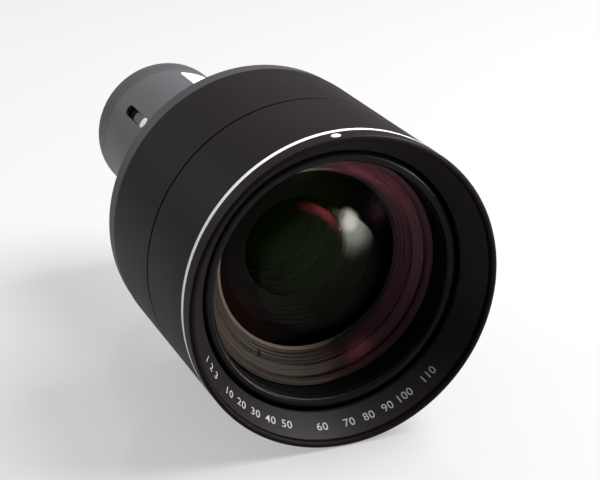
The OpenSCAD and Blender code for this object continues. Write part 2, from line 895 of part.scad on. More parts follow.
module blank_label() {
    color("white")
        on_axis()
            intersection() {
                pipe(barrel_r, barrel_r - inlay / 2, label_rear - label_len, label_rear);
                wedge(label_at - label_span / 2, label_at + label_span / 2, barrel_r + over,
                    0, barrel_len);
            }
}

// The bulkhead and the barrel in which the front group slides
module focus_barrel() {
    color("dimgray")
        on_axis()
            difference() {
                union() {
                    pipe(rear_bore_r, focus_bore_r, shell_seat, bulkhead_rear);
                    pipe(focus_out_r, focus_bore_r, bulkhead_rear - over, iris_cover_front);
                }
                for (i = [0 : 2])
                    straight_slot(focus_follower_at + i * third, follower_r + follower_gap,
                        focus_follower_y - focus_travel / 2 - follower_gap,
                        focus_follower_y + focus_travel / 2 + follower_gap,
                        focus_bore_r - over, focus_out_r + over);
                for (angle = tube_screw_at)
                    side_rod(angle, tube_r + tube_wall / 2, tube_screw_r,
                        shell_seat - over, bulkhead_rear + over);
            }
}

module guide_tube() {
    color("silver")
        on_axis()
            difference() {
                pipe(guide_r, guide_bore_r, iris_base_rear, barrel_len);
                for (i = [0 : 2]) {
                    straight_slot(front_follower_at + i * third, follower_r + follower_gap,
                        front_follower_y - follower_gap,
                        front_follower_y + front_travel + follower_gap,
                        guide_bore_r - over, guide_r + over);
                    straight_slot(slot_at + i * third, follower_r + follower_gap,
                        key_y - follower_gap, key_y + rear_travel + follower_gap,
                        guide_bore_r - over, guide_r + over);
                }
            }
}

module cam_retainer() {
    color("dimgray")
        on_axis()
            pipe(barrel_bore_r - run, guide_r, cam_rear + face_gap,
                cam_rear + face_gap + cam_retainer_len);
}

// Room for the motors and pinions beside the iris
module motor_scallops(from, to) {
    for (angle = motor_at)
        side_rod(angle, centre_r, pinion_tip_r + face_gap, from, to);
}

module iris_housing() {
    color("dimgray")
        on_axis()
            difference() {
                union() {
                    pipe(iris_out_r, iris_open_r, iris_base_front, iris_base_rear);
                    pipe(iris_out_r, iris_wall_bore_r, iris_cover_rear, iris_base_rear);
                }
                for (i = [0 : blade_count - 1])
                    side_rod(i * sixth, pivot_circle, blade_pin_r + run, iris_base_front - over,
                        iris_base_rear + over);
                motor_scallops(iris_cover_front - over, iris_base_rear + over);
            }
}

module iris_cover() {
    color("dimgray")
        on_axis()
            difference() {
                pipe(iris_out_r, iris_open_r + blade_w / 2, iris_cover_front, iris_cover_rear);
                motor_scallops(iris_cover_front - over, iris_cover_rear + over);
            }
}

module motor_holder() {
    color("dimgray")
        on_axis()
            difference() {
                intersection() {
                    pipe(rear_bore_r, iris_wall_bore_r, holder_front, holder_rear);
                    wedge(holder_span[0], holder_span[1], hood_r, holder_front - over,
                        holder_rear + over);
                }
                for (angle = motor_at)
                    side_rod(angle, centre_r, motor_r, holder_front - over, holder_rear + over);
                for (angle = pillar_at)
                    side_rod(angle, pillar_circle(), holder_screw_r, holder_front - over,
                        holder_rear + over);
            }
}

// Radius of the circle of pillars, clear of the lugs
function pillar_circle() = lug_r - face_gap - pillar_r;

module holder_pillars() {
    color("silver")
        on_axis()
            for (angle = pillar_at)
                difference() {
                    side_rod(angle, pillar_circle(), pillar_r, holder_rear, flange_front);
                    side_rod(angle, pillar_circle(), holder_screw_r, holder_rear - over,
                        holder_rear + holder_screw_len);
                }
}

module holder_screws() {
    color("silver")
        on_axis()
            for (angle = pillar_at)
                screw(angle, pillar_circle(), holder_front, -1, holder_screw_r,
                    holder_screw_len, head_r, head_t);
}

module tube_screws() {
    color("silver")
        on_axis()
            for (angle = tube_screw_at)
                screw(angle, tube_r + tube_wall / 2, bulkhead_rear, 1, tube_screw_r,
                    tube_screw_len, tube_screw_head_r, head_t);
}

module flange_screws() {
    color("silver")
        on_axis()
            for (i = [0 : 5])
                screw(shell_screw_at + i * sixth, shell_screw_circle, -shell_head_t, 1,
                    shell_screw_r, shell_screw_len, shell_head_r, shell_head_t);
}

module locating_pin() {
    color("silver")
        on_axis()
            union() {
                side_rod(180, post_circle(), locating_seat_r, -mount_hole_d, 0);
                side_rod(180, post_circle(), locating_r, 0, locating_len);
            }
}

module focus_motor() {
    color("silver")
        on_axis()
            motor(focus_motor_at, focus_ring_front + gear_w + shaft_gap, 1);
}

module zoom_motor() {
    color("silver")
        on_axis()
            motor(zoom_motor_at, zoom_gear_front - shaft_gap, -1);
}

module iris_motor() {
    color("silver")
        on_axis()
            motor(iris_motor_at, iris_pinion_front() - shaft_gap, -1);
}

// Front face of the iris pinion, which is wider than the thin iris ring
function iris_pinion_front() = (iris_ring_front + iris_ring_rear - gear_w) / 2;

module circuit_board() {
    color("darkgreen")
        on_axis()
            difference() {
                intersection() {
                    pipe(lug_r - board_margin, ring_tip_r + 2 * face_gap, board_front, board_rear);
                    wedge(board_span[0], board_span[1], hood_r, board_front - over,
                        board_rear + over);
                }
                for (angle = post_at)
                    side_rod(angle, post_circle(), post_screw_r, board_front - over,
                        board_rear + over);
            }
    color("black")
        on_axis()
            for (angle = [-46, -14, 14, 46])
                at(angle)
                    translate([post_circle() - chip_l / 2, -chip_w / 2, board_front - chip_h])
                        cube([chip_l, chip_w, chip_h]);
}

module rear_connector() {
    back = connector_out - connector_recess;
    color("black")
        on_axis()
            at(0)
                difference() {
                    translate([post_circle() - connector_h / 2, -connector_w / 2, board_rear])
                        cube([connector_h, connector_w, connector_out - board_rear]);
                    translate([post_circle() - connector_h / 2 + connector_wall,
                        -connector_w / 2 + connector_wall, back])
                        cube([connector_h - 2 * connector_wall, connector_w - 2 * connector_wall,
                            connector_recess + over]);
                }
    color("gold")
        on_axis()
            at(0)
                for (row = [0 : contact_rows - 1], column = [0 : contact_columns - 1])
                    translate([
                        post_circle() + (row - (contact_rows - 1) / 2) * contact_pitch,
                        (column - (contact_columns - 1) / 2) * contact_pitch,
                        back
                    ])
                        cylinder(r = contact_r, h = connector_recess * 2 / 3, $fn = 16);
}

module rear_cell() {
    color("dimgray")
        on_axis()
            difference() {
                rod(guide_bore_r, rear_cell_front, barrel_len);
                rod(rear_glass_r - glass_lip, rear_cell_front - over, barrel_len + over);
                rod(rear_glass_r + glass_fit, rear_glass_front, barrel_len + over);
            }
}

module rear_glass() {
    from = rear_glass_from();
    color("darkolivegreen")
        on_axis()
            lens(rear_glass_r, from, from + rear_glass_t, bulge_front = rear_glass_curve,
                bulge_rear = rear_glass_back);
}

// Front edge of the rear glass, whose bulge rests on the lip of its cell
function rear_glass_from() = rear_glass_front + sag(rear_glass_curve, rear_glass_r)
    - sag(rear_glass_curve, rear_glass_r - glass_lip);

module rear_retainer() {
    from = rear_glass_from() + rear_glass_t + sag(rear_glass_back, rear_glass_r)
        - sag(rear_glass_back, rear_glass_r - glass_lip);
    color("black")
        on_axis()
            pipe(rear_glass_r + glass_fit, rear_glass_r - glass_lip, from, from + rear_retainer_t);
}

// Turning ring whose helical slots slide the front group
module focus_ring() {
    color("darkgray")
        on_axis() {
            difference() {
                pipe(focus_ring_r, focus_out_r + run, focus_ring_front + gear_step,
                    focus_ring_rear);
                for (i = [0 : 2])
                    helical_slot(focus_follower_at + i * third, focus_follower_y - focus_travel / 2,
                        focus_travel, -focus_turn / 2, focus_turn / 2, follower_r + follower_gap,
                        focus_out_r - over, focus_ring_r + over);
            }
            geared_ring(focus_motor_at, -sector_teeth(focus_turn / 2),
                sector_teeth(focus_turn / 2), focus_ring_r - focus_ring_wall / 2,
                focus_ring_front, focus_ring_front + gear_w);
        }
}

// Teeth that a turn brings past the pinion, with spare ones
function sector_teeth(turn) = ceil(turn / tooth_step) + spare_teeth;

module front_cell() {
    color("dimgray")
        on_axis()
            difference() {
                rotate_extrude()
                    polygon([
                        [stem_r - stem_wall, stem_rear],
                        [stem_r - stem_wall, second_glass_rear],
                        [second_glass_r + glass_fit, second_glass_rear],
                        [second_glass_r + glass_fit, notched_rear],
                        [notched_r, notched_rear],
                        [notched_r, baffle_rear],
                        [front_bore_r, baffle_rear],
                        [front_bore_r, cell_front],
                        [head_out_r, cell_front],
                        [head_out_r, head_rear],
                        [stem_r, head_rear],
                        [stem_r, stem_rear]
                    ]);
                for (i = [0 : 2])
                    spoke(focus_follower_at + i * third, focus_follower_y, follower_r,
                        stem_r - follower_seat, stem_r + over);
            }
}

module front_glass() {
    color("slategray")
        on_axis()
            lens(front_glass_r, glass_edge, front_glass_rear, bulge_front = front_curve,
                hollow_rear = front_hollow);
}

module front_retainer() {
    color("black")
        on_axis()
            pipe(front_bore_r, front_glass_r - glass_lip, cell_front, retainer_rear);
}

// Ridged ring between the front glass and the notched ring
module front_baffle() {
    color("dimgray")
        on_axis()
            rotate_extrude()
                polygon(concat(
                    ridges([front_glass_r - glass_lip, front_glass_rear], [seam_r, baffle_rear],
                        baffle_ridges, ridge_d),
                    [[front_bore_r, baffle_rear], [front_bore_r, front_glass_rear]]
                ));
}

// Ridged threaded ring with two spanner notches, which holds the second glass
module notched_ring() {
    color("dimgray")
        on_axis()
            difference() {
                rotate_extrude()
                    polygon(concat(
                        ridges([seam_r, notched_front], [notched_bore_r, notched_rear],
                            notched_ridges, ridge_d),
                        [[notched_r, notched_rear], [notched_r, notched_front]]
                    ));
                for (angle = notch_at)
                    at(angle)
                        translate([seam_r - notch_d, -notch_w / 2, notched_front - over])
                            cube([notch_d + notched_r - seam_r + over, notch_w, notch_d + over]);
            }
}

module second_glass() {
    color("darkgreen")
        on_axis()
            lens(second_glass_r, second_glass_front, second_glass_rear,
                bulge_front = second_curve, hollow_rear = second_hollow);
}

module third_cell() {
    color("black")
        on_axis()
            rotate_extrude()
                polygon(concat(
                    ridges([stem_r - stem_wall - glass_lip, third_cell_front],
                        [third_glass_r - glass_lip, third_seat], funnel_ridges, ridge_d),
                    [
                        [third_glass_r + glass_fit, third_seat],
                        [third_glass_r + glass_fit, third_cell_rear],
                        [stem_r - stem_wall, third_cell_rear],
                        [stem_r - stem_wall, third_cell_front]
                    ]
                ));
}

module third_glass() {
    color("darkgreen")
        on_axis()
            lens(third_glass_r, third_glass_front, third_glass_front + third_glass_t,
                bulge_front = third_curve, bulge_rear = third_back);
}

module focus_followers() {
    color("silver")
        on_axis()
            for (i = [0 : 2])
                spoke(focus_follower_at + i * third, focus_follower_y, follower_r,
                    stem_r - follower_seat, focus_ring_r - face_gap);
}

// Turning tube whose helical slots move both zoom groups, with its geared disc
module zoom_cam() {
    color("darkgray")
        on_axis() {
            difference() {
                pipe(cam_r, cam_bore_r, zoom_gear_front + gear_step, cam_rear);
                for (i = [0 : 2]) {
                    helical_slot(front_follower_at + i * third, front_follower_y, front_travel,
                        0, zoom_turn, follower_r + follower_gap, cam_bore_r - over, cam_r + over);
                    helical_slot(slot_at + i * third, key_y, rear_travel,
                        0, zoom_turn, follower_r + follower_gap, cam_bore_r - over, cam_r + over);
                }
            }
            geared_ring(zoom_motor_at, -sector_teeth(zoom_turn), spare_teeth,
                cam_r - cam_wall / 2, zoom_gear_front, zoom_gear_rear);
        }
}

// Cell of a zoom group: a seat for a glass at each end and three holes for the followers
module zoom_cell(middle, length, glass_t, follower_at_angle) {
    front = middle - length / 2;
    rear = middle + length / 2;
    difference() {
        rod(zoom_cell_r, front, rear);
        rod(zoom_bore_r - glass_lip, front - over, rear + over);
        rod(zoom_bore_r + glass_fit, front - over, front + glass_t + zoom_seat_w);
        rod(zoom_bore_r + glass_fit, rear - glass_t - zoom_seat_w, rear + over);
        for (i = [0 : 2])
            spoke(follower_at_angle + i * third, middle, follower_r, zoom_cell_r - follower_seat,
                zoom_cell_r + over);
    }
}

module front_zoom_cell() {
    color("dimgray")
        on_axis()
            zoom_cell(front_follower_y, front_zoom_len, zoom_glass_t, front_follower_at);
}

module front_zoom_glass() {
    front = front_follower_y - front_zoom_len / 2 + zoom_seat_w;
    rear = front_follower_y + front_zoom_len / 2 - zoom_seat_w;
    color("darkolivegreen")
        on_axis() {
            lens(zoom_bore_r, front, front + zoom_glass_t, hollow_front = 2 * zoom_glass_curve);
            lens(zoom_bore_r, rear - zoom_glass_t, rear, hollow_rear = 2 * zoom_glass_curve);
        }
}

module front_zoom_followers() {
    color("silver")
        on_axis()
            for (i = [0 : 2])
                spoke(front_follower_at + i * third, front_follower_y, follower_r,
                    zoom_cell_r - follower_seat, cam_r - face_gap / 2);
}

module rear_zoom_cell() {
    color("dimgray")
        on_axis()
            zoom_cell(key_y, rear_zoom_len, zoom_glass_t, slot_at);
}

module rear_zoom_glass() {
    front = key_y - rear_zoom_len / 2 + zoom_seat_w;
    rear = key_y + rear_zoom_len / 2 - zoom_seat_w;
    color("darkolivegreen")
        on_axis() {
            lens(zoom_bore_r, front, front + zoom_glass_t, hollow_front = 3 * zoom_glass_curve);
            lens(zoom_bore_r, rear - zoom_glass_t, rear, hollow_rear = 3 * zoom_glass_curve);
        }
}

module rear_zoom_followers() {
    color("silver")
        on_axis()
            for (i = [0 : 2])
                spoke(slot_at + i * third, key_y, follower_r,
                    zoom_cell_r - follower_seat, cam_r - face_gap / 2);
}

// Key that runs in the slot of the rear barrel and shows the zoom setting
module zoom_key() {
    key_low = barrel_bore_r + cam_gap / 2;
    key_high = barrel_r - key_drop;
    half_w = slot_w / 2 - key_gap;
    color("gray")
        on_axis() {
            straight_slot(slot_at, half_w, key_y - key_len / 2 + half_w,
                key_y + key_len / 2 - half_w, key_low, key_high);
            spoke(slot_at, key_y, key_stem_r, cam_r - face_gap / 2, key_low);
        }
}

// Flat ring that turns all blades at once
module iris_ring() {
    color("darkgray")
        on_axis()
            difference() {
                geared_ring(iris_motor_at, -sector_teeth(iris_turn), spare_teeth,
                    band_out_r - blade_w / 2, iris_ring_front, iris_ring_rear);
                for (i = [0 : blade_count - 1])
                    at(i * sixth)
                        translate([0, 0, iris_ring_front - over])
                            blade_pin_slot(iris_ring_t + 2 * over);
            }
}

// Slot in the iris ring along the path of one drive pin
module blade_pin_slot(height) {
    half_w = blade_pin_r + follower_gap;
    path = [for (i = [0 : pin_slot_steps]) pin_on_ring(iris_turn * i / pin_slot_steps)];
    last = pin_slot_steps;
    along = [for (i = [0 : last])
        let (d = path[min(last, i + 1)] - path[max(0, i - 1)])
        d / norm(d)];
    linear_extrude(height)
        polygon(concat(
            [for (i = [0 : last]) path[i] + half_w * [-along[i].y, along[i].x]],
            [for (i = [last : -1 : 0]) path[i] + half_w * [along[i].y, -along[i].x]]
        ));
    for (p = [path[0], path[last]])
        translate([p.x, p.y, 0])
            cylinder(r = half_w, h = height, $fn = 48);
}

// One iris blade, with its pivot pin at the back and its drive pin at the front
module iris_blade(number) {
    turn = (number - 1) * sixth;
    rear = iris_base_front - blade_gap - (number - 1) * blade_pitch;
    front = rear - blade_t;
    color("black")
        on_axis() {
            intersection() {
                pipe(band_out_r, band_in_r, front, rear);
                wedge(turn + band_at, turn + blade_span, hood_r, front - over, rear + over);
            }
            intersection() {
                pipe(tab_out_r, band_out_r - blade_pin_r, front, rear);
                wedge(turn + tab_span[0], turn + tab_span[1], hood_r, front - over, rear + over);
            }
            side_rod(turn, pivot_circle, blade_pin_r, rear - blade_t / 2,
                iris_base_rear - blade_gap);
            side_rod(turn + drive_pin_at, pivot_circle, blade_pin_r, iris_ring_front + blade_gap,
                front + blade_t / 2);
        }
}

module focus_pinion() {
    color("gold")
        on_axis()
            pinion(focus_motor_at, focus_ring_front, focus_ring_front + gear_w, 1);
}

module zoom_pinion() {
    color("gold")
        on_axis()
            pinion(zoom_motor_at, zoom_gear_front, zoom_gear_rear, -1);
}

module iris_pinion() {
    color("gold")
        on_axis()
            pinion(iris_motor_at, iris_pinion_front(), iris_pinion_front() + gear_w, -1);
}

front_shell();
rear_shell();
white_line();
index_dot();
letter_ring();
lip_ring();
inner_tube();
flange();
rear_barrel();
rear_ring();
slot_dot();
blank_label();
focus_barrel();
guide_tube();
cam_retainer();
iris_housing();
iris_cover();
motor_holder();
holder_pillars();
focus_motor();
zoom_motor();
iris_motor();
circuit_board();
rear_connector();
rear_cell();
rear_glass();
rear_retainer();
flange_screws();
holder_screws();
tube_screws();
locating_pin();
focus_ring();
front_cell();
front_glass();
front_retainer();
front_baffle();
notched_ring();
second_glass();
third_cell();
third_glass();
focus_followers();
zoom_cam();
front_zoom_cell();
front_zoom_glass();
front_zoom_followers();
rear_zoom_cell();
rear_zoom_glass();
rear_zoom_followers();
zoom_key();
iris_ring();
iris_blade(1);  // iris_blade_1
iris_blade(2);  // iris_blade_2
iris_blade(3);  // iris_blade_3
iris_blade(4);  // iris_blade_4
iris_blade(5);  // iris_blade_5
iris_blade(6);  // iris_blade_6
focus_pinion();
zoom_pinion();
iris_pinion();
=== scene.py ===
"""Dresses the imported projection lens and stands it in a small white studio.

The CAD nodes stay where they are. The turned pieces that show are built again here with
finer profiles, and every piece gets a finish made from noise and distances on its surface.
The optical axis is Y, and the lens looks towards -Y. Lengths of the lens are in millimetres,
which MM turns into Blender's metres, and the studio is in metres. Angles round the axis are
in degrees from the top, growing towards +X.
"""

import json
import logging
import math
from dataclasses import dataclass, field
from enum import Enum
from typing import Callable, Iterable, Mapping, Sequence, Union

import bmesh
import bpy
from mathutils import Matrix, Vector


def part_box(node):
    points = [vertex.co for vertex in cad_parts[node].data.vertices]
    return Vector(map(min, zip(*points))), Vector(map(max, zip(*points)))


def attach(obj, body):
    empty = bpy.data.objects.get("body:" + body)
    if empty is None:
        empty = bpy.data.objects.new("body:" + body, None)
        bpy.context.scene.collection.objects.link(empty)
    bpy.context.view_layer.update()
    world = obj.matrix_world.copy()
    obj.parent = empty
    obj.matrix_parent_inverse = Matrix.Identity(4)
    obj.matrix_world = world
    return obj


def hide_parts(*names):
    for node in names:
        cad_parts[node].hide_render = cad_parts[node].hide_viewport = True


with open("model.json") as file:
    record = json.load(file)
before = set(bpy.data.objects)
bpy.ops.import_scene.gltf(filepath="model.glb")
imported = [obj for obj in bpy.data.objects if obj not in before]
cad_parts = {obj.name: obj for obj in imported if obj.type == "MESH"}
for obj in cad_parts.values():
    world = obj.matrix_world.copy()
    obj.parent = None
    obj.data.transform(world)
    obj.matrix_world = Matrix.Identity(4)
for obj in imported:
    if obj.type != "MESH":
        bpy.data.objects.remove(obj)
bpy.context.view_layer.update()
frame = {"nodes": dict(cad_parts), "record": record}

LOG = logging.getLogger("projection_lens")
MM = 0.001
ON_AXIS = 1e-6
DECIMALS = 2
HOUSING = "housing"
FRONT_GROUP = "front_group"
Colour = tuple[float, float, float]
Point = tuple[float, float, float]
Input = Union["Socket", float, Sequence[float]]


class Socket:
    """An output of a material node, on which Python's operators add Math nodes."""

    def __init__(self, sheet: "Sheet", link: bpy.types.NodeSocket) -> None:
        """Keeps the sheet that the socket lies on and Blender's own socket."""
        self.sheet = sheet
        self.link = link

    def _math(self, operation: str, first: Input, second: Input) -> "Socket":
        """Adds one Math node.

        Args:
            operation: Blender's name of the operation.
            first: The first value or socket.
            second: The second value or socket.

        Returns:
            The result's socket.
        """
        settings = {"operation": operation}
        return self.sheet.make("ShaderNodeMath", settings, {0: first, 1: second})[0]

    def __add__(self, other: Input) -> "Socket":
        """Adds."""
        return self._math("ADD", self, other)

    def __radd__(self, other: Input) -> "Socket":
        """Adds to a number."""
        return self._math("ADD", other, self)

    def __sub__(self, other: Input) -> "Socket":
        """Subtracts."""
        return self._math("SUBTRACT", self, other)

    def __rsub__(self, other: Input) -> "Socket":
        """Subtracts from a number."""
        return self._math("SUBTRACT", other, self)

    def __mul__(self, other: Input) -> "Socket":
        """Multiplies."""
        return self._math("MULTIPLY", self, other)

    def __rmul__(self, other: Input) -> "Socket":
        """Multiplies a number."""
        return self._math("MULTIPLY", other, self)

    def __pow__(self, other: Input) -> "Socket":
        """Raises to a power."""
        return self._math("POWER", self, other)


class Node:
    """A made node, whose outputs are read by name or number."""

    def __init__(self, sheet: "Sheet", node: bpy.types.Node) -> None:
        """Keeps the sheet and Blender's own node."""
        self.sheet = sheet
        self.node = node

    def __getitem__(self, key: Union[str, int]) -> Socket:
        """Gives an output."""
        return Socket(self.sheet, self.node.outputs[key])


class Sheet:
    """The node tree of a material or of the world."""

    def __init__(self, owner: Union[bpy.types.Material, bpy.types.World]) -> None:
        """Empties the owner's node tree and keeps it.

        Args:
            owner: The material or the world.
        """
        owner.use_nodes = True
        self.tree = owner.node_tree
        self.tree.nodes.clear()

    def make(self, kind: str, settings: Mapping[str, object] | None = None,
             sockets: Mapping[Union[str, int], Input] | None = None) -> Node:
        """Makes any node.

        Args:
            kind: Blender's name of the node's type.
            settings: Settings of the node, made first. "stops" fills a colour ramp.
            sockets: Values or links of the node's inputs.

        Returns:
            The node.
        """
        node = self.tree.nodes.new(kind)
        for name, setting in (settings or {}).items():
            if name == "stops":
                self._fill_ramp(node.color_ramp, setting)
            else:
                setattr(node, name, setting)
        for name, value in (sockets or {}).items():
            if isinstance(value, Socket):
                self.tree.links.new(value.link, node.inputs[name])
            else:
                node.inputs[name].default_value = value
        return Node(self, node)

    @staticmethod
    def _fill_ramp(ramp: bpy.types.ColorRamp,
                   stops: Sequence[tuple[float, float]]) -> None:
        """Fills a ramp with grey stops.

        Args:
            ramp: The ramp, which has two stops when it is new.
            stops: A place and a level for each stop.
        """
        while len(ramp.elements) < len(stops):
            ramp.elements.new(1.0)
        for element, (place, level) in zip(ramp.elements, stops):
            element.position = place
            element.color = (level, level, level, 1.0)

    def place(self) -> Socket:
        """Gives the place on the surface in the object's own metres."""
        return self.make("ShaderNodeTexCoord")["Object"]

    def noise(self, where: Socket, size_mm: float, detail: float = 2.0) -> Socket:
        """Gives noise from 0 to 1 whose grains are about size_mm across."""
        sockets = {"Vector": where, "Scale": 1 / (size_mm * MM), "Detail": detail}
        return self.make("ShaderNodeTexNoise", {}, sockets)[0]

    def climb(self, value: Socket, start: float, full: float) -> Socket:
        """Gives 0 up to start and 1 from full on, with a straight climb between them."""
        stops = [(start, 0.0), (full, 1.0)]
        return self.make("ShaderNodeValToRGB", {"stops": stops}, {"Fac": value})[0]

    def smooth(self, value: Socket, start: float, end: float,
               low: float = 0.0, high: float = 1.0) -> Socket:
        """Gives one level up to a value and another beyond it, with a soft passage.

        Args:
            value: What is measured.
            start: Where the passage starts.
            end: Where it ends.
            low: The level before start.
            high: The level after end.

        Returns:
            The level's socket.
        """
        sockets = {"Value": value, "From Min": start, "From Max": end, "To Min": low,
                   "To Max": high}
        settings = {"interpolation_type": "SMOOTHSTEP"}
        return self.make("ShaderNodeMapRange", settings, sockets)[0]

    def mixed(self, share: Input, low: Union[Socket, Colour],
              high: Union[Socket, Colour]) -> Socket:
        """Mixes two colours.

        Args:
            share: How much of the second colour there is.
            low: The first colour.
            high: The second colour.

        Returns:
            The mixed colour's socket.
        """
        first, second = (c if isinstance(c, Socket) else (*c, 1.0) for c in (low, high))
        sockets = {0: share, 6: first, 7: second}
        return self.make("ShaderNodeMix", {"data_type": "RGBA"}, sockets)[2]

    def bump(self, height: Socket, depth_mm: float) -> Socket:
        """Gives a normal bent by a height of 0 to 1 that stands for depth_mm."""
        sockets = {"Height": height, "Distance": depth_mm * MM, "Strength": 1.0}
        return self.make("ShaderNodeBump", {}, sockets)[0]

    def turned_place(self) -> Socket:
        """Gives the place on the surface as a turning tool meets it.

        Returns:
            A vector's socket: the distance from the axis and the place along it.
        """
        parts = self.make("ShaderNodeSeparateXYZ", {}, {0: self.place()})
        radius = (parts["X"] * parts["X"] + parts["Z"] * parts["Z"]) ** 0.5
        return self.make("ShaderNodeCombineXYZ", {}, {0: radius, 1: parts["Y"]})[0]

    def output(self, surface: Socket) -> None:
        """Ends the tree in a surface."""
        self.make("ShaderNodeOutputMaterial", {}, {"Surface": surface})


@dataclass(frozen=True)
class Finish:
    """A finish of one of the lens's materials. Subclasses say how it varies.

    Names that end in _mm are lengths on the surface. A swing is how far a noise moves the
    roughness or the gleam, as a share of it, and detail is how fine the grain's noise is.
    """

    name: str
    colour: Colour
    rough: float = 0.5
    metallic: float = 0.0
    specular: float = 0.5
    grain_mm: float = 0.25
    depth_mm: float = 0.004
    drift: float = 0.15
    variant: str = ""
    detail: float = 3.0
    cloud_mm: float = 25.0
    cloud_swing: float = 0.2

    def material(self) -> bpy.types.Material:
        """Gives the finish's material, made once.

        Returns:
            The material.
        """
        name = f"{self.name}{self.variant}_finish"
        found = bpy.data.materials.get(name)
        if found:
            return found
        material = bpy.data.materials.new(name)
        self.paint(Sheet(material))
        return material

    @staticmethod
    def swing(*waves: tuple[float, Socket]) -> Socket:
        """Gives a factor about 1 that noises move.

        Args:
            waves: For each noise, how far it moves the factor, and the noise.

        Returns:
            The factor's socket.
        """
        level = 1 - sum(width for width, _ in waves) / 2
        for width, wave in waves:
            level = level + width * wave
        return level

    def shades(self, sheet: Sheet, share: Socket) -> Socket:
        """Gives the colour, a little darker or lighter by a share.

        Args:
            sheet: The material's sheet.
            share: 0 where the colour is darkest and 1 where it is lightest.

        Returns:
            The colour's socket.
        """
        low = tuple(c * (1 - self.drift) for c in self.colour)
        high = tuple(c * (1 + self.drift) for c in self.colour)
        return sheet.mixed(share, low, high)

    def principled(self, sheet: Sheet, colour: Input, rough: Input,
                   normal: Socket | None = None) -> Node:
        """Makes the shader with the finish's own values on its sockets.

        Args:
            sheet: The material's sheet.
            colour: The base colour.
            rough: The roughness.
            normal: The bent normal, if the surface has one.

        Returns:
            The shader.
        """
        sockets = {
            "Base Color": colour,
            "Roughness": rough,
            "Metallic": self.metallic,
            "Specular IOR Level": self.specular,
        }
        if normal:
            sockets["Normal"] = normal
        return sheet.make("ShaderNodeBsdfPrincipled", {}, sockets)

    def paint(self, sheet: Sheet) -> None:
        """Paints an even, finely grained surface.

        Args:
            sheet: The material's sheet.
        """
        where = sheet.place()
        grain = sheet.noise(where, self.grain_mm, self.detail)
        cloud = sheet.noise(where, self.cloud_mm)
        rough = self.rough * self.swing((self.cloud_swing, cloud))
        shader = self.principled(sheet, self.shades(sheet, cloud), rough,
                                 sheet.bump(grain, self.depth_mm))
        sheet.output(shader[0])


@dataclass(frozen=True)
class Blasted(Finish):
    """Bead-blasted and anodised metal: fine pits, a soft cloud and a few rubbed specks."""

    detail: float = 4.0
    cloud_mm: float = 28.0
    pit_swing: float = 0.08
    speck_mm: float = 0.9
    speck_detail: float = 1.0
    speck_from: float = 0.66
    speck_full: float = 0.78
    rub: float = 0.175
    rub_gain: float = 1.7
    rub_lift: float = 0.004

    def paint(self, sheet: Sheet) -> None:
        """Paints the pits, the cloud and the rubbed specks.

        Args:
            sheet: The material's sheet.
        """
        where = sheet.place()
        pits = sheet.noise(where, self.grain_mm, self.detail)
        cloud = sheet.noise(where, self.cloud_mm)
        specks = sheet.climb(sheet.noise(where, self.speck_mm, self.speck_detail),
                             self.speck_from, self.speck_full)
        plain = self.shades(sheet, 0.5 * pits + 0.5 * cloud)
        rubbed = tuple(c * self.rub_gain + self.rub_lift for c in self.colour)
        colour = sheet.mixed(specks * self.rub, plain, rubbed)
        rough = self.rough * self.swing((self.cloud_swing, cloud), (self.pit_swing, pits))
        shader = self.principled(sheet, colour, rough, sheet.bump(pits, self.depth_mm))
        sheet.output(shader[0])


@dataclass(frozen=True)
class Turned(Finish):
    """Turned metal: fine rings left by the tool, under a clear or dyed anodising."""

    cloud_mm: float = 12.0
    cloud_swing: float = 0.15
    pitch_mm: float = 0.18
    ring_swing: float = 0.25

    def paint(self, sheet: Sheet) -> None:
        """Paints the tool's rings, brighter on their crests.

        Args:
            sheet: The material's sheet.
        """
        rings = sheet.noise(sheet.turned_place(), self.pitch_mm, self.detail)
        cloud = sheet.noise(sheet.place(), self.cloud_mm)
        rough = self.rough * self.swing((self.ring_swing, rings), (self.cloud_swing, cloud))
        shader = self.principled(sheet, self.shades(sheet, rings), rough,
                                 sheet.bump(rings, self.depth_mm))
        sheet.output(shader[0])


@dataclass(frozen=True)
class Print(Finish):
    """Paint or ink in a thin, slightly uneven coat."""

    flow_mm: float = 0.8

    def paint(self, sheet: Sheet) -> None:
        """Paints the coat with its flow marks.

        Args:
            sheet: The material's sheet.
        """
        flow = sheet.noise(sheet.place(), self.flow_mm)
        shader = self.principled(sheet, self.shades(sheet, flow), self.rough,
                                 sheet.bump(flow, self.depth_mm))
        sheet.output(shader[0])


@dataclass(frozen=True)
class Board(Finish):
    """Solder mask with copper tracks below it, laid out like the joints of a wall."""

    block_mm: float = 6.4
    track: float = 0.03
    shift: float = 0.5

    def paint(self, sheet: Sheet) -> None:
        """Paints the mask lighter where a track lies below.

        Args:
            sheet: The material's sheet.
        """
        mask, copper = (0.0, 0.0, 0.0, 1.0), (1.0, 1.0, 1.0, 1.0)
        tracks = sheet.make("ShaderNodeTexBrick", {"offset": self.shift}, {
            "Vector": sheet.place(), "Scale": 1 / (self.block_mm * MM),
            "Mortar Size": self.track, "Color1": mask, "Color2": mask,
            "Mortar": copper})["Color"]
        shader = self.principled(sheet, self.shades(sheet, tracks), self.rough,
                                 sheet.bump(tracks, self.depth_mm))
        sheet.output(shader[0])


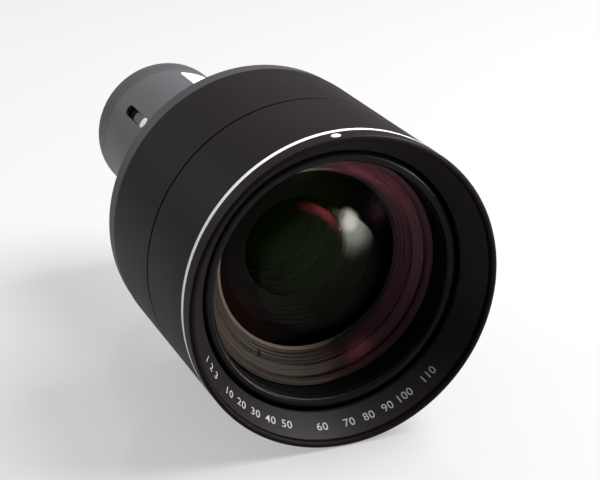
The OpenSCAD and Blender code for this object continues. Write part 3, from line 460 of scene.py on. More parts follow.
@dataclass(frozen=True)
class RidgedPaintedBySide(Turned):
    """Turned ridges whose colour goes over to another one on the +X side, as painted light and
    shade that differ by side.
    """

    painted_far_colour: Colour = (0.1, 0.05, 0.06)
    turn_mm: tuple[float, float] = (-6.0, 34.0)

    def shades(self, sheet: Sheet, share: Socket) -> Socket:
        """Gives the colour by the tool's rings, painted over to another colour on the +X side
        as light and shade.

        Args:
            sheet: The material's sheet.
            share: 0 where the near colour is darkest and 1 where it is lightest.

        Returns:
            The colour's socket.
        """
        across = sheet.make("ShaderNodeSeparateXYZ", {}, {0: sheet.place()})["X"]
        start, end = (x * MM for x in self.turn_mm)
        near = super().shades(sheet, share)
        return sheet.mixed(sheet.smooth(across, start, end), near, self.painted_far_colour)


@dataclass(frozen=True)
class Patch:
    """A circle seen along the axis, with a soft edge: its middle across and up in mm."""

    x: float
    z: float
    radius: float
    soft: float

    def inside(self, sheet: Sheet) -> Socket:
        """Gives 1 inside the circle and 0 outside.

        Args:
            sheet: The material's sheet.

        Returns:
            The level's socket.
        """
        flat = sheet.make("ShaderNodeVectorMath", {"operation": "MULTIPLY"}, {
            0: sheet.place(), 1: (1.0, 0.0, 1.0)})[0]
        away = sheet.make("ShaderNodeVectorMath", {"operation": "DISTANCE"}, {
            0: flat, 1: (self.x * MM, 0.0, self.z * MM)})["Value"]
        start, end = (self.radius - self.soft) * MM, (self.radius + self.soft) * MM
        return sheet.smooth(away, start, end, 1.0, 0.0)


@dataclass(frozen=True)
class PaintedReflection:
    """A round patch of painted reflection, mostly faint, on a glass's coating.

    A bite is left out of it, so that a crescent stays. A heart is where it is strongest.
    """

    patch: Patch
    colour: Colour
    share: float
    bite: Patch | None = None
    heart: Patch | None = None
    heart_fall: float = 1.6

    def strength(self, sheet: Sheet) -> Socket:
        """Gives the painted reflection's share at each place.

        Args:
            sheet: The material's sheet.

        Returns:
            The share's socket.
        """
        share = self.patch.inside(sheet) * self.share
        if self.bite:
            share = share * (1.0 - self.bite.inside(sheet))
        if self.heart:
            share = share * self.heart.inside(sheet) ** self.heart_fall
        return share


@dataclass(frozen=True)
class Coated(Finish):
    """Polished glass with an anti-reflection coating, seen as a tinted gleam over a void,
    under patches of painted reflection.

    The glass bends no light, so what lies behind it is seen where it is.
    """

    cloud_mm: float = 30.0
    cloud_swing: float = 0.4
    gleam: float = 0.01
    gleam_swing: float = 0.3
    edge_gleam: float = 0.25
    edge_blend: float = 0.5
    edge_power: float = 4.0
    dust_mm: float = 0.4
    dust_detail: float = 0.0
    dust_from: float = 0.74
    dust_full: float = 0.8
    dust_gleam: float = 0.006
    clear: Colour = (0.985, 0.985, 0.985)
    painted_rough: float = 0.6
    painted_reflections: tuple[PaintedReflection, ...] = ()

    def with_painted_reflections(self, sheet: Sheet, clear: Socket) -> Socket:
        """Lays the patches of painted reflection over the clear surface, one after another.

        Args:
            sheet: The material's sheet.
            clear: The clear surface.

        Returns:
            The surface with its painted reflections.
        """
        surface = clear
        for painted_patch in self.painted_reflections:
            # Each patch is a painted reflection: a dull colour, lit by the lamps, mixed over
            # the glass.
            painted_surface = sheet.make("ShaderNodeBsdfPrincipled", {}, {
                "Base Color": (*painted_patch.colour, 1.0), "Roughness": self.painted_rough,
                "Specular IOR Level": 0.0})
            surface = sheet.make("ShaderNodeMixShader", {}, {
                0: painted_patch.strength(sheet), 1: surface, 2: painted_surface[0]})[0]
        return surface

    def paint(self, sheet: Sheet) -> None:
        """Paints the coating's gleam, stronger towards the edge of a curved face.

        Args:
            sheet: The material's sheet.
        """
        where = sheet.place()
        edge = sheet.make("ShaderNodeLayerWeight", {}, {"Blend": self.edge_blend})["Facing"]
        cloud = sheet.noise(where, self.cloud_mm)
        dust = sheet.climb(sheet.noise(where, self.dust_mm, self.dust_detail),
                           self.dust_from, self.dust_full)
        share = (self.gleam * self.swing((self.gleam_swing, cloud))
                 + self.edge_gleam * edge ** self.edge_power + self.dust_gleam * dust)
        shine = self.principled(sheet, (*self.colour, 1.0),
                                self.rough * self.swing((self.cloud_swing, cloud)))
        void = sheet.make("ShaderNodeBsdfTransparent", {}, {0: (*self.clear, 1.0)})
        mixed = sheet.make("ShaderNodeMixShader", {}, {0: share, 1: void[0], 2: shine[0]})
        sheet.output(self.with_painted_reflections(sheet, mixed[0]))


# Colours of painted reflections in the glasses' coatings.
REFLECTED_ROSE = (0.60, 0.13, 0.20)
REFLECTED_MOSS = (0.10, 0.22, 0.0)
# Painted reflections on the front glass: a rose crescent at the upper right and a small patch
# below.
FRONT_PAINTED_REFLECTIONS = (
    PaintedReflection(Patch(24.0, 31.0, 17.0, 9.0), REFLECTED_ROSE, 0.17, bite=Patch(-0.5, -0.5, 39.2, 1.5)),
    PaintedReflection(Patch(16.5, -36.4, 5.5, 5.0), REFLECTED_ROSE, 0.09),
)
# Painted reflections on the second glass: green over the upper half, a red rim at the lower
# left, a pale disc that is a painted reflection of a round lamp, with its bright crescent and
# a painted highlight as the hot spot in it, and a smaller green disc with a red crescent.
SECOND_PAINTED_REFLECTIONS = (
    PaintedReflection(Patch(-4.0, 17.0, 22.0, 10.0), (0.09, 0.22, 0.0), 0.012),
    PaintedReflection(Patch(0.0, 0.0, 37.0, 2.0), (0.30, 0.01, 0.02), 0.045,
          bite=Patch(5.0, 5.0, 33.0, 4.0), heart=Patch(-30.0, -16.0, 16.0, 16.0)),
    PaintedReflection(Patch(3.0, -3.6, 24.4, 0.4), (0.55, 0.66, 0.45), 0.007),
    PaintedReflection(Patch(3.0, -3.6, 24.4, 0.4), (0.80, 0.85, 0.72), 0.40,
          bite=Patch(-5.3, 7.5, 17.6, 0.8), heart=Patch(17.0, 12.5, 7.25, 7.25)),
    # The hot spot: a painted highlight.
    PaintedReflection(Patch(14.6, 15.0, 2.9, 2.0), (1.0, 0.98, 0.92), 1.0),
    PaintedReflection(Patch(-5.3, 7.1, 17.3, 0.4), (0.10, 0.28, 0.04), 0.004),
    PaintedReflection(Patch(-5.3, 6.9, 17.3, 0.4), (0.75, 0.10, 0.14), 0.22,
          bite=Patch(-6.3, 5.2, 16.7, 1.5), heart=Patch(5.0, 19.0, 7.5, 7.5)),
)
# Painted reflections on the third glass: two green discs, one inside the other.
THIRD_PAINTED_REFLECTIONS = (
    PaintedReflection(Patch(2.2, -0.3, 15.2, 0.5), REFLECTED_MOSS, 0.006),
    PaintedReflection(Patch(-1.0, 1.5, 11.0, 0.5), REFLECTED_MOSS, 0.004),
)


class Coat(Enum):
    """The finishes of the lens. Each one's name is a material slot of the record."""

    HOOD = Blasted("hood_black", (0.0082, 0.0046, 0.0047), 0.44, specular=0.075,
                   grain_mm=0.22, depth_mm=0.006)
    MARK = Print("mark_white", (0.93, 0.93, 0.92), 0.45, depth_mm=0.004, drift=0.02)
    LETTER = Turned("letter_face", (0.0175, 0.0142, 0.0146), 0.46, specular=0.15,
                    depth_mm=0.002)
    LIP = Turned("lip_satin", (0.007, 0.006, 0.0065), 0.3, specular=0.13, depth_mm=0.002)
    DEEP = Turned("deep_black", (0.0022, 0.0021, 0.0022), 0.6, specular=0.05,
                  depth_mm=0.003)
    GREY = Blasted("grey_anodised", (0.070, 0.067, 0.075), 0.44, specular=0.6,
                   grain_mm=0.18, depth_mm=0.004, drift=0.06)
    # The flange's copy of the grey anodising is darker: painted shade.
    FLANGE_PAINTED_SHADE = Blasted("grey_anodised", (0.034, 0.032, 0.038), 0.46, specular=0.4,
                     grain_mm=0.18, depth_mm=0.004, drift=0.06, variant="_flange_painted_shade")
    REAR_RING = Turned("rear_ring_grey", (0.050, 0.048, 0.053), 0.42, specular=0.45,
                       pitch_mm=0.25, depth_mm=0.006)
    LABEL = Print("label_white", (0.88, 0.88, 0.87), 0.4, depth_mm=0.002, drift=0.02)
    # The +X side of these ridges is painted a lighter mauve: a painted sheen.
    RIDGE = RidgedPaintedBySide("ridged_black", (0.056, 0.041, 0.031), 0.48, specular=0.3,
                   depth_mm=0.002, painted_far_colour=(0.120, 0.045, 0.055))
    # The edge is painted cream where lit on the -X side and painted dark in shade on the +X
    # side.
    PAINTED_LIT_EDGE = RidgedPaintedBySide("ridged_black", (0.25, 0.20, 0.155), 0.4, specular=0.3, variant="_edge",
                  painted_far_colour=(0.014, 0.010, 0.010), turn_mm=(-6.0, 18.0))
    NUMBER = Print("mark_white", (0.50, 0.50, 0.52), 0.5, depth_mm=0.004, drift=0.03,
                   variant="_number")
    FRAME = Turned("frame_black", (0.05, 0.05, 0.05), 0.5, depth_mm=0.003)
    TURNED = Turned("turned_metal", (0.62, 0.63, 0.64), 0.32, metallic=1.0)
    STEEL = Turned("steel", (0.55, 0.55, 0.56), 0.3, metallic=1.0, depth_mm=0.002)
    CAN = Turned("motor_can", (0.6, 0.6, 0.61), 0.28, metallic=1.0, depth_mm=0.001)
    BRASS = Turned("pinion_brass", (0.72, 0.53, 0.24), 0.3, metallic=1.0)
    BOARD = Board("board_green", (0.02, 0.13, 0.06), 0.4, drift=0.5)
    CONNECTOR = Finish("connector_black", (0.03, 0.03, 0.03), 0.45)
    FRONT = Coated("front_coating", (0.80, 0.38, 0.52), 0.16, metallic=1.0,
                   gleam=0.0001, edge_gleam=0.002, painted_reflections=FRONT_PAINTED_REFLECTIONS)
    INNER = Coated("inner_coating", (0.35, 0.75, 0.30), 0.04, metallic=1.0,
                   gleam=0.003, edge_gleam=0.04)
    SECOND = Coated("inner_coating", (0.92, 0.92, 0.70), 0.06, metallic=1.0, gleam=0.001,
                    edge_gleam=0.006, variant="_second", painted_reflections=SECOND_PAINTED_REFLECTIONS)
    THIRD = Coated("inner_coating", (0.30, 0.80, 0.25), 0.04, metallic=1.0, gleam=0.0005,
                   edge_gleam=0.01, variant="_third", painted_reflections=THIRD_PAINTED_REFLECTIONS)
    BLADE = Turned("blade_black", (0.02, 0.02, 0.02), 0.4, depth_mm=0.002)

    @property
    def slot(self) -> str:
        """The record's slot name."""
        return self.value.name


@dataclass(frozen=True)
class Reach:
    """How far a CAD node reaches: sideways from the axis, to the front and to the rear."""

    radius: float
    front: float
    rear: float

    @classmethod
    def of(cls, node: str) -> "Reach":
        """Reads a node's reach from its box in the frame, to a hundredth of a millimetre."""
        low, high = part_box(node)
        return cls(*(round(value / MM, DECIMALS) for value in (high[0], low[1], high[1])))

    @property
    def middle(self) -> float:
        """The place along the axis halfway between both ends."""
        return (self.front + self.rear) / 2

    @property
    def half(self) -> float:
        """Half of the length along the axis."""
        return (self.rear - self.front) / 2


def on_round(radius: float, y: float, angle: float) -> Vector:
    """Gives the point in metres at a radius, a place along the axis and an angle."""
    turn = math.radians(angle)
    return Vector((radius * math.sin(turn), y, radius * math.cos(turn))) * MM


@dataclass(frozen=True)
class Corner:
    """A corner of a turned profile, with the radius of its rounding."""

    r: float
    y: float
    rounding: float = 0.0


@dataclass
class Profile:
    """A turned profile: points with the surface's direction before and after each."""

    points: list[tuple[float, float]] = field(default_factory=list)
    before: list[Vector] = field(default_factory=list)
    after: list[Vector] = field(default_factory=list)

    def add(self, r: float, y: float, before: Vector, after: Vector) -> None:
        """Adds one point.

        Args:
            r: Its distance from the axis.
            y: Its place along the axis.
            before: The direction out of the surface that ends at it.
            after: The direction out of the surface that starts at it.
        """
        self.points.append((r, y))
        self.before.append(before)
        self.after.append(after)

    def add_arc(self, last: Corner, corner: Corner, following: Corner, steps: int) -> None:
        """Adds the points of one rounded corner.

        Args:
            last: The corner before it.
            corner: The corner.
            following: The corner after it.
            steps: Faces in its rounding.
        """
        here = Vector((corner.r, corner.y))
        back = (Vector((last.r, last.y)) - here).normalized()
        ahead = (Vector((following.r, following.y)) - here).normalized()
        half = back.angle(ahead) / 2
        reach = corner.rounding / math.tan(half)
        middle = here + (back + ahead).normalized() * corner.rounding / math.sin(half)
        start = here + back * reach - middle
        end = here + ahead * reach - middle
        sweep = start.angle_signed(end)
        outward = 1 if start.dot(self.across(last, corner)) > 0 else -1
        for k in range(steps + 1):
            spoke = start.copy()
            spoke.rotate(Matrix.Rotation(-sweep * k / steps, 2))
            place = middle + spoke
            normal = spoke.normalized() * outward
            self.add(place.x, place.y, normal, normal)

    @staticmethod
    def across(start: Corner, end: Corner) -> Vector:
        """Gives the direction out of the surface between two corners of a ring."""
        return Vector((end.y - start.y, start.r - end.r)).normalized()

    @classmethod
    def rounded(cls, corners: Sequence[Corner], steps: int = 5) -> "Profile":
        """Makes a closed profile whose corners are rounded.

        Args:
            corners: The corners, with the material on the left of the path when r grows to
                the right and y grows upwards.
            steps: Faces in each rounding.

        Returns:
            The profile.
        """
        made = cls()
        for i, corner in enumerate(corners):
            last, following = corners[i - 1], corners[(i + 1) % len(corners)]
            if corner.rounding > 0:
                made.add_arc(last, corner, following, steps)
            else:
                made.add(corner.r, corner.y, cls.across(last, corner),
                         cls.across(corner, following))
        return made


@dataclass(frozen=True)
class Notch:
    """A spanner notch in a ring's bore, from the ring's front to until_y.

    Its width is an angle, and each of its walls is twice the sliver's angle wide.
    """

    angle: float
    wide: float = 2.4
    deep: float = 2.0
    until_y: float = -63.6
    sliver: float = 0.01

    def edges(self) -> list[float]:
        """Gives the angles just outside and inside both of its walls."""
        middle, half = self.angle % 360, self.wide / 2
        return [middle + side * (half + step) for side in (-1, 1)
                for step in (-self.sliver, self.sliver)]

    def sunk(self, y: float, angle: float) -> float:
        """Gives how deep the notch is at a place of the bore."""
        inside = abs(angle - self.angle % 360) < self.wide / 2 and y < self.until_y
        return self.deep if inside else 0.0


class Turning:
    """Turns profiles into meshes round the optical axis."""

    SEGMENTS = 288

    @classmethod
    def angles(cls, notches: Sequence[Notch]) -> list[float]:
        """Gives the angles of a ring's points, with those at the walls of its notches."""
        walls = [a for n in notches for a in n.edges()]
        return sorted([360 * k / cls.SEGMENTS for k in range(cls.SEGMENTS)] + walls)

    @staticmethod
    def rows(profile: Profile, angles: Sequence[float],
             notches: Sequence[Notch]) -> tuple[list[Vector], list[list[int]]]:
        """Gives the points of a ring, one row for each point of its profile.

        Args:
            profile: The profile in millimetres.
            angles: The angles of the points in each row.
            notches: Pockets that are sunk into the bore.

        Returns:
            The points in metres, and the numbers of each row's points. A row on the axis
            has one point, whose number is repeated.
        """
        vertices: list[Vector] = []
        rows: list[list[int]] = []
        for r, y in profile.points:
            first = len(vertices)
            if r < ON_AXIS:
                rows.append([first] * len(angles))
                vertices.append(Vector((0.0, y, 0.0)) * MM)
            else:
                rows.append(list(range(first, first + len(angles))))
                vertices += [on_round(r + sum(n.sunk(y, a) for n in notches), y, a)
                             for a in angles]
        return vertices, rows

    @classmethod
    def ring(cls, name: str, profile: Profile, closed: bool = True,
             notches: Sequence[Notch] = ()) -> bpy.types.Object:
        """Makes a mesh by turning a profile.

        Args:
            name: The piece's name.
            profile: The profile in millimetres.
            closed: Whether the last point joins the first. An open profile starts and
                ends on the axis.
            notches: Pockets that are sunk into the bore.

        Returns:
            The new object.
        """
        angles = cls.angles(notches)
        vertices, rows = cls.rows(profile, angles, notches)
        faces, normals = [], []
        for i in range(len(rows) if closed else len(rows) - 1):
            j = (i + 1) % len(rows)
            for k in range(len(angles)):
                m = (k + 1) % len(angles)
                loop = [(rows[i][k], i, k), (rows[i][m], i, m), (rows[j][m], j, m),
                        (rows[j][k], j, k)]
                kept = [c for n, c in enumerate(loop) if c[0] != loop[n - 1][0]]
                faces.append([c[0] for c in kept])
                for _, row, step in kept:
                    flat = profile.after[i] if row == i else profile.before[j]
                    turn = math.radians(angles[step])
                    normals.append((flat.x * math.sin(turn), flat.y,
                                    flat.x * math.cos(turn)))
        return cls.finish(name, vertices, faces, normals)

    @staticmethod
    def finish(name: str, vertices: Sequence[Vector], faces: Sequence[Sequence[int]],
               normals: Sequence[Sequence[float]] | None = None) -> bpy.types.Object:
        """Makes an object from lists and links it to the scene.

        Args:
            name: The piece's name.
            vertices: Its points in metres.
            faces: The points of each face, by number.
            normals: The direction out of the surface at each corner of each face.

        Returns:
            The new object.
        """
        mesh = bpy.data.meshes.new(name)
        mesh.from_pydata(vertices, [], faces)
        mesh.update()
        mesh.shade_smooth()
        if normals:
            mesh.normals_split_custom_set(normals)
        return linked(name, mesh)


def linked(name: str, data: bpy.types.ID) -> bpy.types.Object:
    """Makes an object and links it to the scene.

    Args:
        name: The object's name.
        data: Its mesh, text, lamp or camera.

    Returns:
        The new object.
    """
    made = bpy.data.objects.new(name, data)
    bpy.context.scene.collection.objects.link(made)
    return made


def oriented(piece: bpy.types.Object) -> bpy.types.Object:
    """Turns a closed piece's faces outwards.

    Args:
        piece: The piece.

    Returns:
        The same piece.
    """
    cleaned = bmesh.new()
    cleaned.from_mesh(piece.data)
    bmesh.ops.recalc_face_normals(cleaned, faces=cleaned.faces)
    cleaned.to_mesh(piece.data)
    cleaned.free()
    return piece


def dress(piece: bpy.types.Object, coat: Coat, body: str,
          nodes: Iterable[str] = ()) -> None:
    """Gives a piece its finish, its body and the CAD nodes that it stands for.

    Args:
        piece: The new piece.
        coat: Its finish.
        body: The CAD body that it rides on.
        nodes: CAD nodes that it replaces.
    """
    piece.data.materials.clear()
    piece.data.materials.append(coat.value.material())
    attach(piece, body)
    if nodes:
        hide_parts(*nodes)
    LOG.info("piece %s in %s on %s", piece.name, coat.slot, body)


@dataclass(frozen=True)
class RoundMark:
    """A dot of paint on a round surface, a little domed, with its foot sunk in."""

    name: str
    at: Reach
    radius: float
    angle: float
    height: float = 0.05
    edge_fall: float = 0.3
    edge_power: int = 4
    foot: float = 0.1
    rings: int = 5
    spokes: int = 48

    def ring(self, share: float, lift: float) -> list[Vector]:
        """Gives one ring of points.

        Args:
            share: Its radius as a share of the dot's.
            lift: How far it stands out of the surface.

        Returns:
            The points.
        """
        points = []
        for k in range(self.spokes):
            turn = 2 * math.pi * k / self.spokes
            along = self.at.half * share * math.sin(turn)
            around = self.at.half * share * math.cos(turn)
            points.append(on_round(self.radius + lift, self.at.middle + along,
                                   self.angle + math.degrees(around / self.radius)))
        return points

    def build(self) -> bpy.types.Object:
        """Builds the dot.

        Returns:
            The new object.
        """
        vertices = [on_round(self.radius + self.height, self.at.middle, self.angle)]
        for i in range(1, self.rings + 1):
            fall = self.edge_fall * (i / self.rings) ** self.edge_power
            vertices += self.ring(i / self.rings, self.height * (1 - fall))
        vertices += self.ring(1.0, -self.foot)
        faces = []
        for k in range(self.spokes):
            m = (k + 1) % self.spokes
            faces.append((0, 1 + m, 1 + k))
            for i in range(self.rings):
                low, high = 1 + i * self.spokes, 1 + (i + 1) * self.spokes
                faces.append((low + k, low + m, high + m, high + k))
        foot = 1 + self.rings * self.spokes
        faces.append(tuple(range(foot, foot + self.spokes)))
        return oriented(Turning.finish(self.name, vertices, faces))


@dataclass
class Hood:
    """The two shells of the hood, the white line and the index dot."""

    front_at: Reach = Reach.of("front_shell")
    rear_at: Reach = Reach.of("rear_shell")
    line_at: Reach = Reach.of("white_line")
    dot_at: Reach = Reach.of("index_dot")
    dot_angle: float = -3.9
    wall: float = 2.4
    rear_wall: float = 3.0
    seam: float = 0.9
    spigot_step: float = 1.7
    step_y: tuple[float, float] = (0.2, 1.0)
    groove: float = 0.25
    groove_round: float = 0.04
    paint_sunk: float = 0.03
    paint_gap: float = 0.01
    paint_round: float = 0.05
    paint_steps: int = 2
    edge_round: float = 0.2
    seam_round: float = 0.25
    end_round: float = 0.3
    rim_round: float = 1.15

    def front(self) -> bpy.types.Object:
        """Builds the front shell with its rolled rim and the groove for the line.

        Returns:
            The new object.
        """
        radius, rim, seam = self.front_at.radius, self.front_at.front, self.front_at.rear
        bore, deep = radius - self.wall, radius - self.groove
        corners = [
            Corner(bore, seam, self.edge_round),
            Corner(bore, rim, self.rim_round),
            Corner(radius, rim, self.rim_round),
            Corner(radius, self.line_at.front, self.groove_round),
            Corner(deep, self.line_at.front),
            Corner(deep, self.line_at.rear),
            Corner(radius, self.line_at.rear, self.groove_round),
            Corner(radius, seam, self.seam_round),
        ]
        return Turning.ring("hood_front", Profile.rounded(corners))

    def rear(self) -> bpy.types.Object:
        """Builds the rear shell with the spigot that reaches into the front one.

        Returns:
            The new object.
        """
        radius, start, end = self.rear_at.radius, self.rear_at.front, self.rear_at.rear
        seam = self.front_at.rear + self.seam
        bore, spigot = radius - self.rear_wall, radius - self.wall
        step_front, step_rear = self.step_y
        corners = [
            Corner(bore, end, self.edge_round),
            Corner(bore, seam + step_rear, self.edge_round),
            Corner(bore - self.spigot_step, seam - step_front, self.edge_round),
            Corner(bore - self.spigot_step, start, self.end_round),
            Corner(spigot, start, self.end_round),
            Corner(spigot, seam),
            Corner(radius, seam, self.seam_round),
            Corner(radius, end, self.end_round),
        ]
        return Turning.ring("hood_rear", Profile.rounded(corners))

    def line(self) -> bpy.types.Object:
        """Builds the paint that fills the groove.

        Returns:
            The new object.
        """
        low = self.front_at.radius - self.groove
        high = self.front_at.radius - self.paint_sunk
        start, end = self.line_at.front + self.paint_gap, self.line_at.rear - self.paint_gap
        corners = [
            Corner(low, end),
            Corner(low, start),
            Corner(high, start, self.paint_round),
            Corner(high, end, self.paint_round),
        ]
        return Turning.ring("hood_line", Profile.rounded(corners, self.paint_steps))

    def build(self) -> None:
        """Builds and dresses the hood."""
        dress(self.front(), Coat.HOOD, HOUSING, ["front_shell"])
        dress(self.rear(), Coat.HOOD, HOUSING, ["rear_shell"])
        dress(self.line(), Coat.MARK, HOUSING, ["white_line"])
        dot = RoundMark("index_mark", self.dot_at, self.front_at.radius, self.dot_angle)
        dress(dot.build(), Coat.MARK, HOUSING, ["index_dot"])


@dataclass
class FrontTrim:
    """The lettered cone, the rounded lip and the dark tube behind it."""

    cone_at: Reach = Reach.of("letter_ring")
    cone_end: Corner = Corner(51.0, -85.0, 0.25)
    cone_round: float = 0.12
    cone_back: float = 7.0
    edge_round: float = 0.2
    lip_at: Reach = Reach.of("lip_ring")
    lip_r: tuple[float, float] = (46.0, 50.0)
    lip_round: float = 1.7
    lip_steps: int = 10
    tube_at: Reach = Reach.of("inner_tube")
    tube_bore: float = 46.0
    grooves: int = 12
    groove_pitch: float = 1.0
    groove_depth: float = 0.3
    groove_wide: float = 0.8
    groove_from: float = 1.0
    letter_height: float = 3.0
    size_of_height: float = 1.5
    letter_share: float = 0.47
    letter_weight: float = 0.015
    letter_lift: float = 0.03
    letter_space: float = 1.08
    numbers: tuple[tuple[float, str], ...] = (
        (-113.5, "1 2 3"), (-127.0, "10"), (-134.5, "20"), (-142.0, "30"), (-149.5, "40"),
        (-157.0, "50"), (-172.5, "60"), (-184.0, "70"), (-192.5, "80"), (-201.0, "90"),
        (-209.0, "100"), (-221.5, "110"),
    )

    def letter_face(self) -> bpy.types.Object:
        """Builds the cone that carries the numbers.

        Returns:
            The new object.
        """
        outer, inner = self.cone_at, self.cone_end
        corners = [
            Corner(inner.r, outer.rear, self.edge_round),
            inner,
            Corner(outer.radius, outer.front, self.cone_round),
            Corner(outer.radius, outer.front + self.cone_back),
            Corner((outer.radius + inner.r) / 2, outer.rear),
        ]
        return Turning.ring("letter_cone", Profile.rounded(corners))

    def lip(self) -> bpy.types.Object:
        """Builds the lip with its rolled front.

        Returns:
            The new object.
        """
        low, high = self.lip_r
        corners = [
            Corner(low, self.lip_at.rear),
            Corner(low, self.lip_at.front, self.lip_round),
            Corner(high, self.lip_at.front, self.lip_round),
            Corner(high, self.lip_at.rear),
        ]
        return Turning.ring("lip_bead", Profile.rounded(corners, self.lip_steps))

    def tube(self) -> bpy.types.Object:
        """Builds the tube with light-trap grooves in its bore, from the rear forwards.

        Returns:
            The new object.
        """
        bore, out = self.tube_bore, self.tube_at.radius
        start, end = self.tube_at.front, self.tube_at.rear
        wide = self.groove_wide * self.groove_pitch
        corners = [Corner(out, start), Corner(out, end), Corner(bore, end)]
        for i in reversed(range(self.grooves)):
            y = start + self.groove_from + i * self.groove_pitch
            corners += [Corner(bore, y + wide), Corner(bore + self.groove_depth, y + wide / 2),
                        Corner(bore, y)]
        corners.append(Corner(bore, start, self.edge_round))
        return Turning.ring("dark_tube", Profile.rounded(corners))

    def flat_number(self, name: str, text: str) -> bpy.types.Mesh:
        """Makes the mesh of one number, lying flat with its middle at the origin.

        Args:
            name: The mesh's name.
            text: The digits.

        Returns:
            The mesh, in millimetres.
        """
        curve = bpy.data.curves.new(name, "FONT")
        curve.body = text
        curve.align_x, curve.align_y = "CENTER", "CENTER"
        curve.size = self.letter_height * self.size_of_height
        curve.offset = self.letter_weight
        curve.extrude = self.letter_lift
        curve.space_character = self.letter_space
        flat = linked(f"flat_{name}", curve)
        bpy.context.view_layer.update()
        mesh = bpy.data.meshes.new_from_object(flat)
        bpy.data.objects.remove(flat)
        mesh.name = name
        return mesh

    def number(self, index: int, angle: float, text: str) -> bpy.types.Object:
        """Builds one number and lays it on the cone, its top towards the axis.

        Args:
            index: Counts the numbers, for the piece's name.
            angle: Place of the number's middle round the axis.
            text: The digits.

        Returns:
            The new object.
        """
        name = f"number_{index}"
        mesh = self.flat_number(name, text)
        foot = Vector((self.cone_at.radius, self.cone_at.front))
        slant = Vector((self.cone_end.r, self.cone_end.y)) - foot
        out_of = Vector((-slant.y, slant.x)).normalized()
        for vertex in mesh.vertices:
            across, up, lift = vertex.co
            share = self.letter_share + up / slant.length
            r = foot.x + slant.x * share + out_of.x * lift
            y = foot.y + slant.y * share + out_of.y * lift
            vertex.co = on_round(r, y, angle - math.degrees(across / r))
        return oriented(linked(name, mesh))

    def build(self) -> None:
        """Builds and dresses the trim."""
        dress(self.letter_face(), Coat.LETTER, HOUSING, ["letter_ring"])
        dress(self.lip(), Coat.LIP, HOUSING, ["lip_ring"])
        dress(self.tube(), Coat.DEEP, HOUSING, ["inner_tube"])
        for index, (angle, text) in enumerate(self.numbers, 1):
            dress(self.number(index, angle, text), Coat.NUMBER, HOUSING)


@dataclass(frozen=True)
class Glass:
    """A round glass with a curved face on each side.

    front_y and rear_y are where its faces cross the axis. front_curve and rear_curve are the
    radii of their spheres, positive where a face's middle stands towards the front.
    """

    name: str
    node: str
    coat: Coat
    front_y: float
    rear_y: float
    front_curve: float
    rear_curve: float
    chamfer: float = 0.35
    steps: int = 72

    @staticmethod
    def depth(curve: float, r: float) -> float:
        """Gives how far to the rear of its middle a face lies at a distance from the axis."""
        return math.copysign(abs(curve) - math.sqrt(curve * curve - r * r), curve)

    @staticmethod
    def slope(curve: float, r: float) -> Vector:
        """Gives the direction out of a front face at a distance from the axis."""
        lean = r / curve
        return Vector((lean, -math.sqrt(1 - lean * lean)))

    def add_face(self, profile: Profile, y: float, curve: float, edge: float,
                 side: int) -> None:
        """Adds the points of one face to the profile.

        Args:
            profile: The glass's profile.
            y: Where the face crosses the axis.
            curve: The radius of its sphere, with its sign.
            edge: The radius of its edge.
            side: 1 for the front face, from the axis out, and -1 for the rear one, back in.
        """
        for k in range(self.steps + 1)[::side]:
            r = edge * k / self.steps
            normal = side * self.slope(curve, r)
            profile.add(r, y + self.depth(curve, r), normal, normal)

    def build(self) -> bpy.types.Object:
        """Builds the glass, as wide as its CAD node.

        Returns:
            The new object.
        """
        profile = Profile()
        radius = Reach.of(self.node).radius
        edge = radius - self.chamfer
        self.add_face(profile, self.front_y, self.front_curve, edge, 1)
        rim_front = self.front_y + self.depth(self.front_curve, edge) + self.chamfer
        rim_rear = self.rear_y + self.depth(self.rear_curve, edge)
        outward = Vector((1.0, 0.0))
        profile.add(radius, rim_front, outward, outward)
        profile.add(radius, rim_rear, outward, outward)
        self.add_face(profile, self.rear_y, self.rear_curve, edge, -1)
        return Turning.ring(self.name, profile, closed=False)


@dataclass(frozen=True)
class RidgeRow:
    """A ring whose bore is a row of rounded ridges between two corners.

    The shape of a ridge is a row of shares: how far along its pitch a corner lies, and how
    deep in the groove.
    """

    start: Corner
    end: Corner
    outer_r: float
    count: int
    depth: float
    shape: tuple[tuple[float, float], ...] = ((0.0, 0.0), (0.62, 0.0), (0.78, 1.0), (0.9, 1.0))
    rounding: float = 0.05
    end_round: float = 0.1
    steps: int = 3

    def profile(self) -> Profile:
        """Gives the ring's profile.

        Returns:
            The profile.
        """
        row = []
        for i in range(self.count):
            for along, sunk in self.shape:
                share = (i + along) / self.count
                r = self.start.r + (self.end.r - self.start.r) * share + sunk * self.depth
                y = self.start.y + (self.end.y - self.start.y) * share
                row.append(Corner(r, y, self.rounding))
        row.append(Corner(self.end.r, self.end.y, self.end_round))
        corners = [Corner(self.outer_r, self.end.y), *row[::-1],
                   Corner(self.outer_r, self.start.y)]
        return Profile.rounded(corners, self.steps)


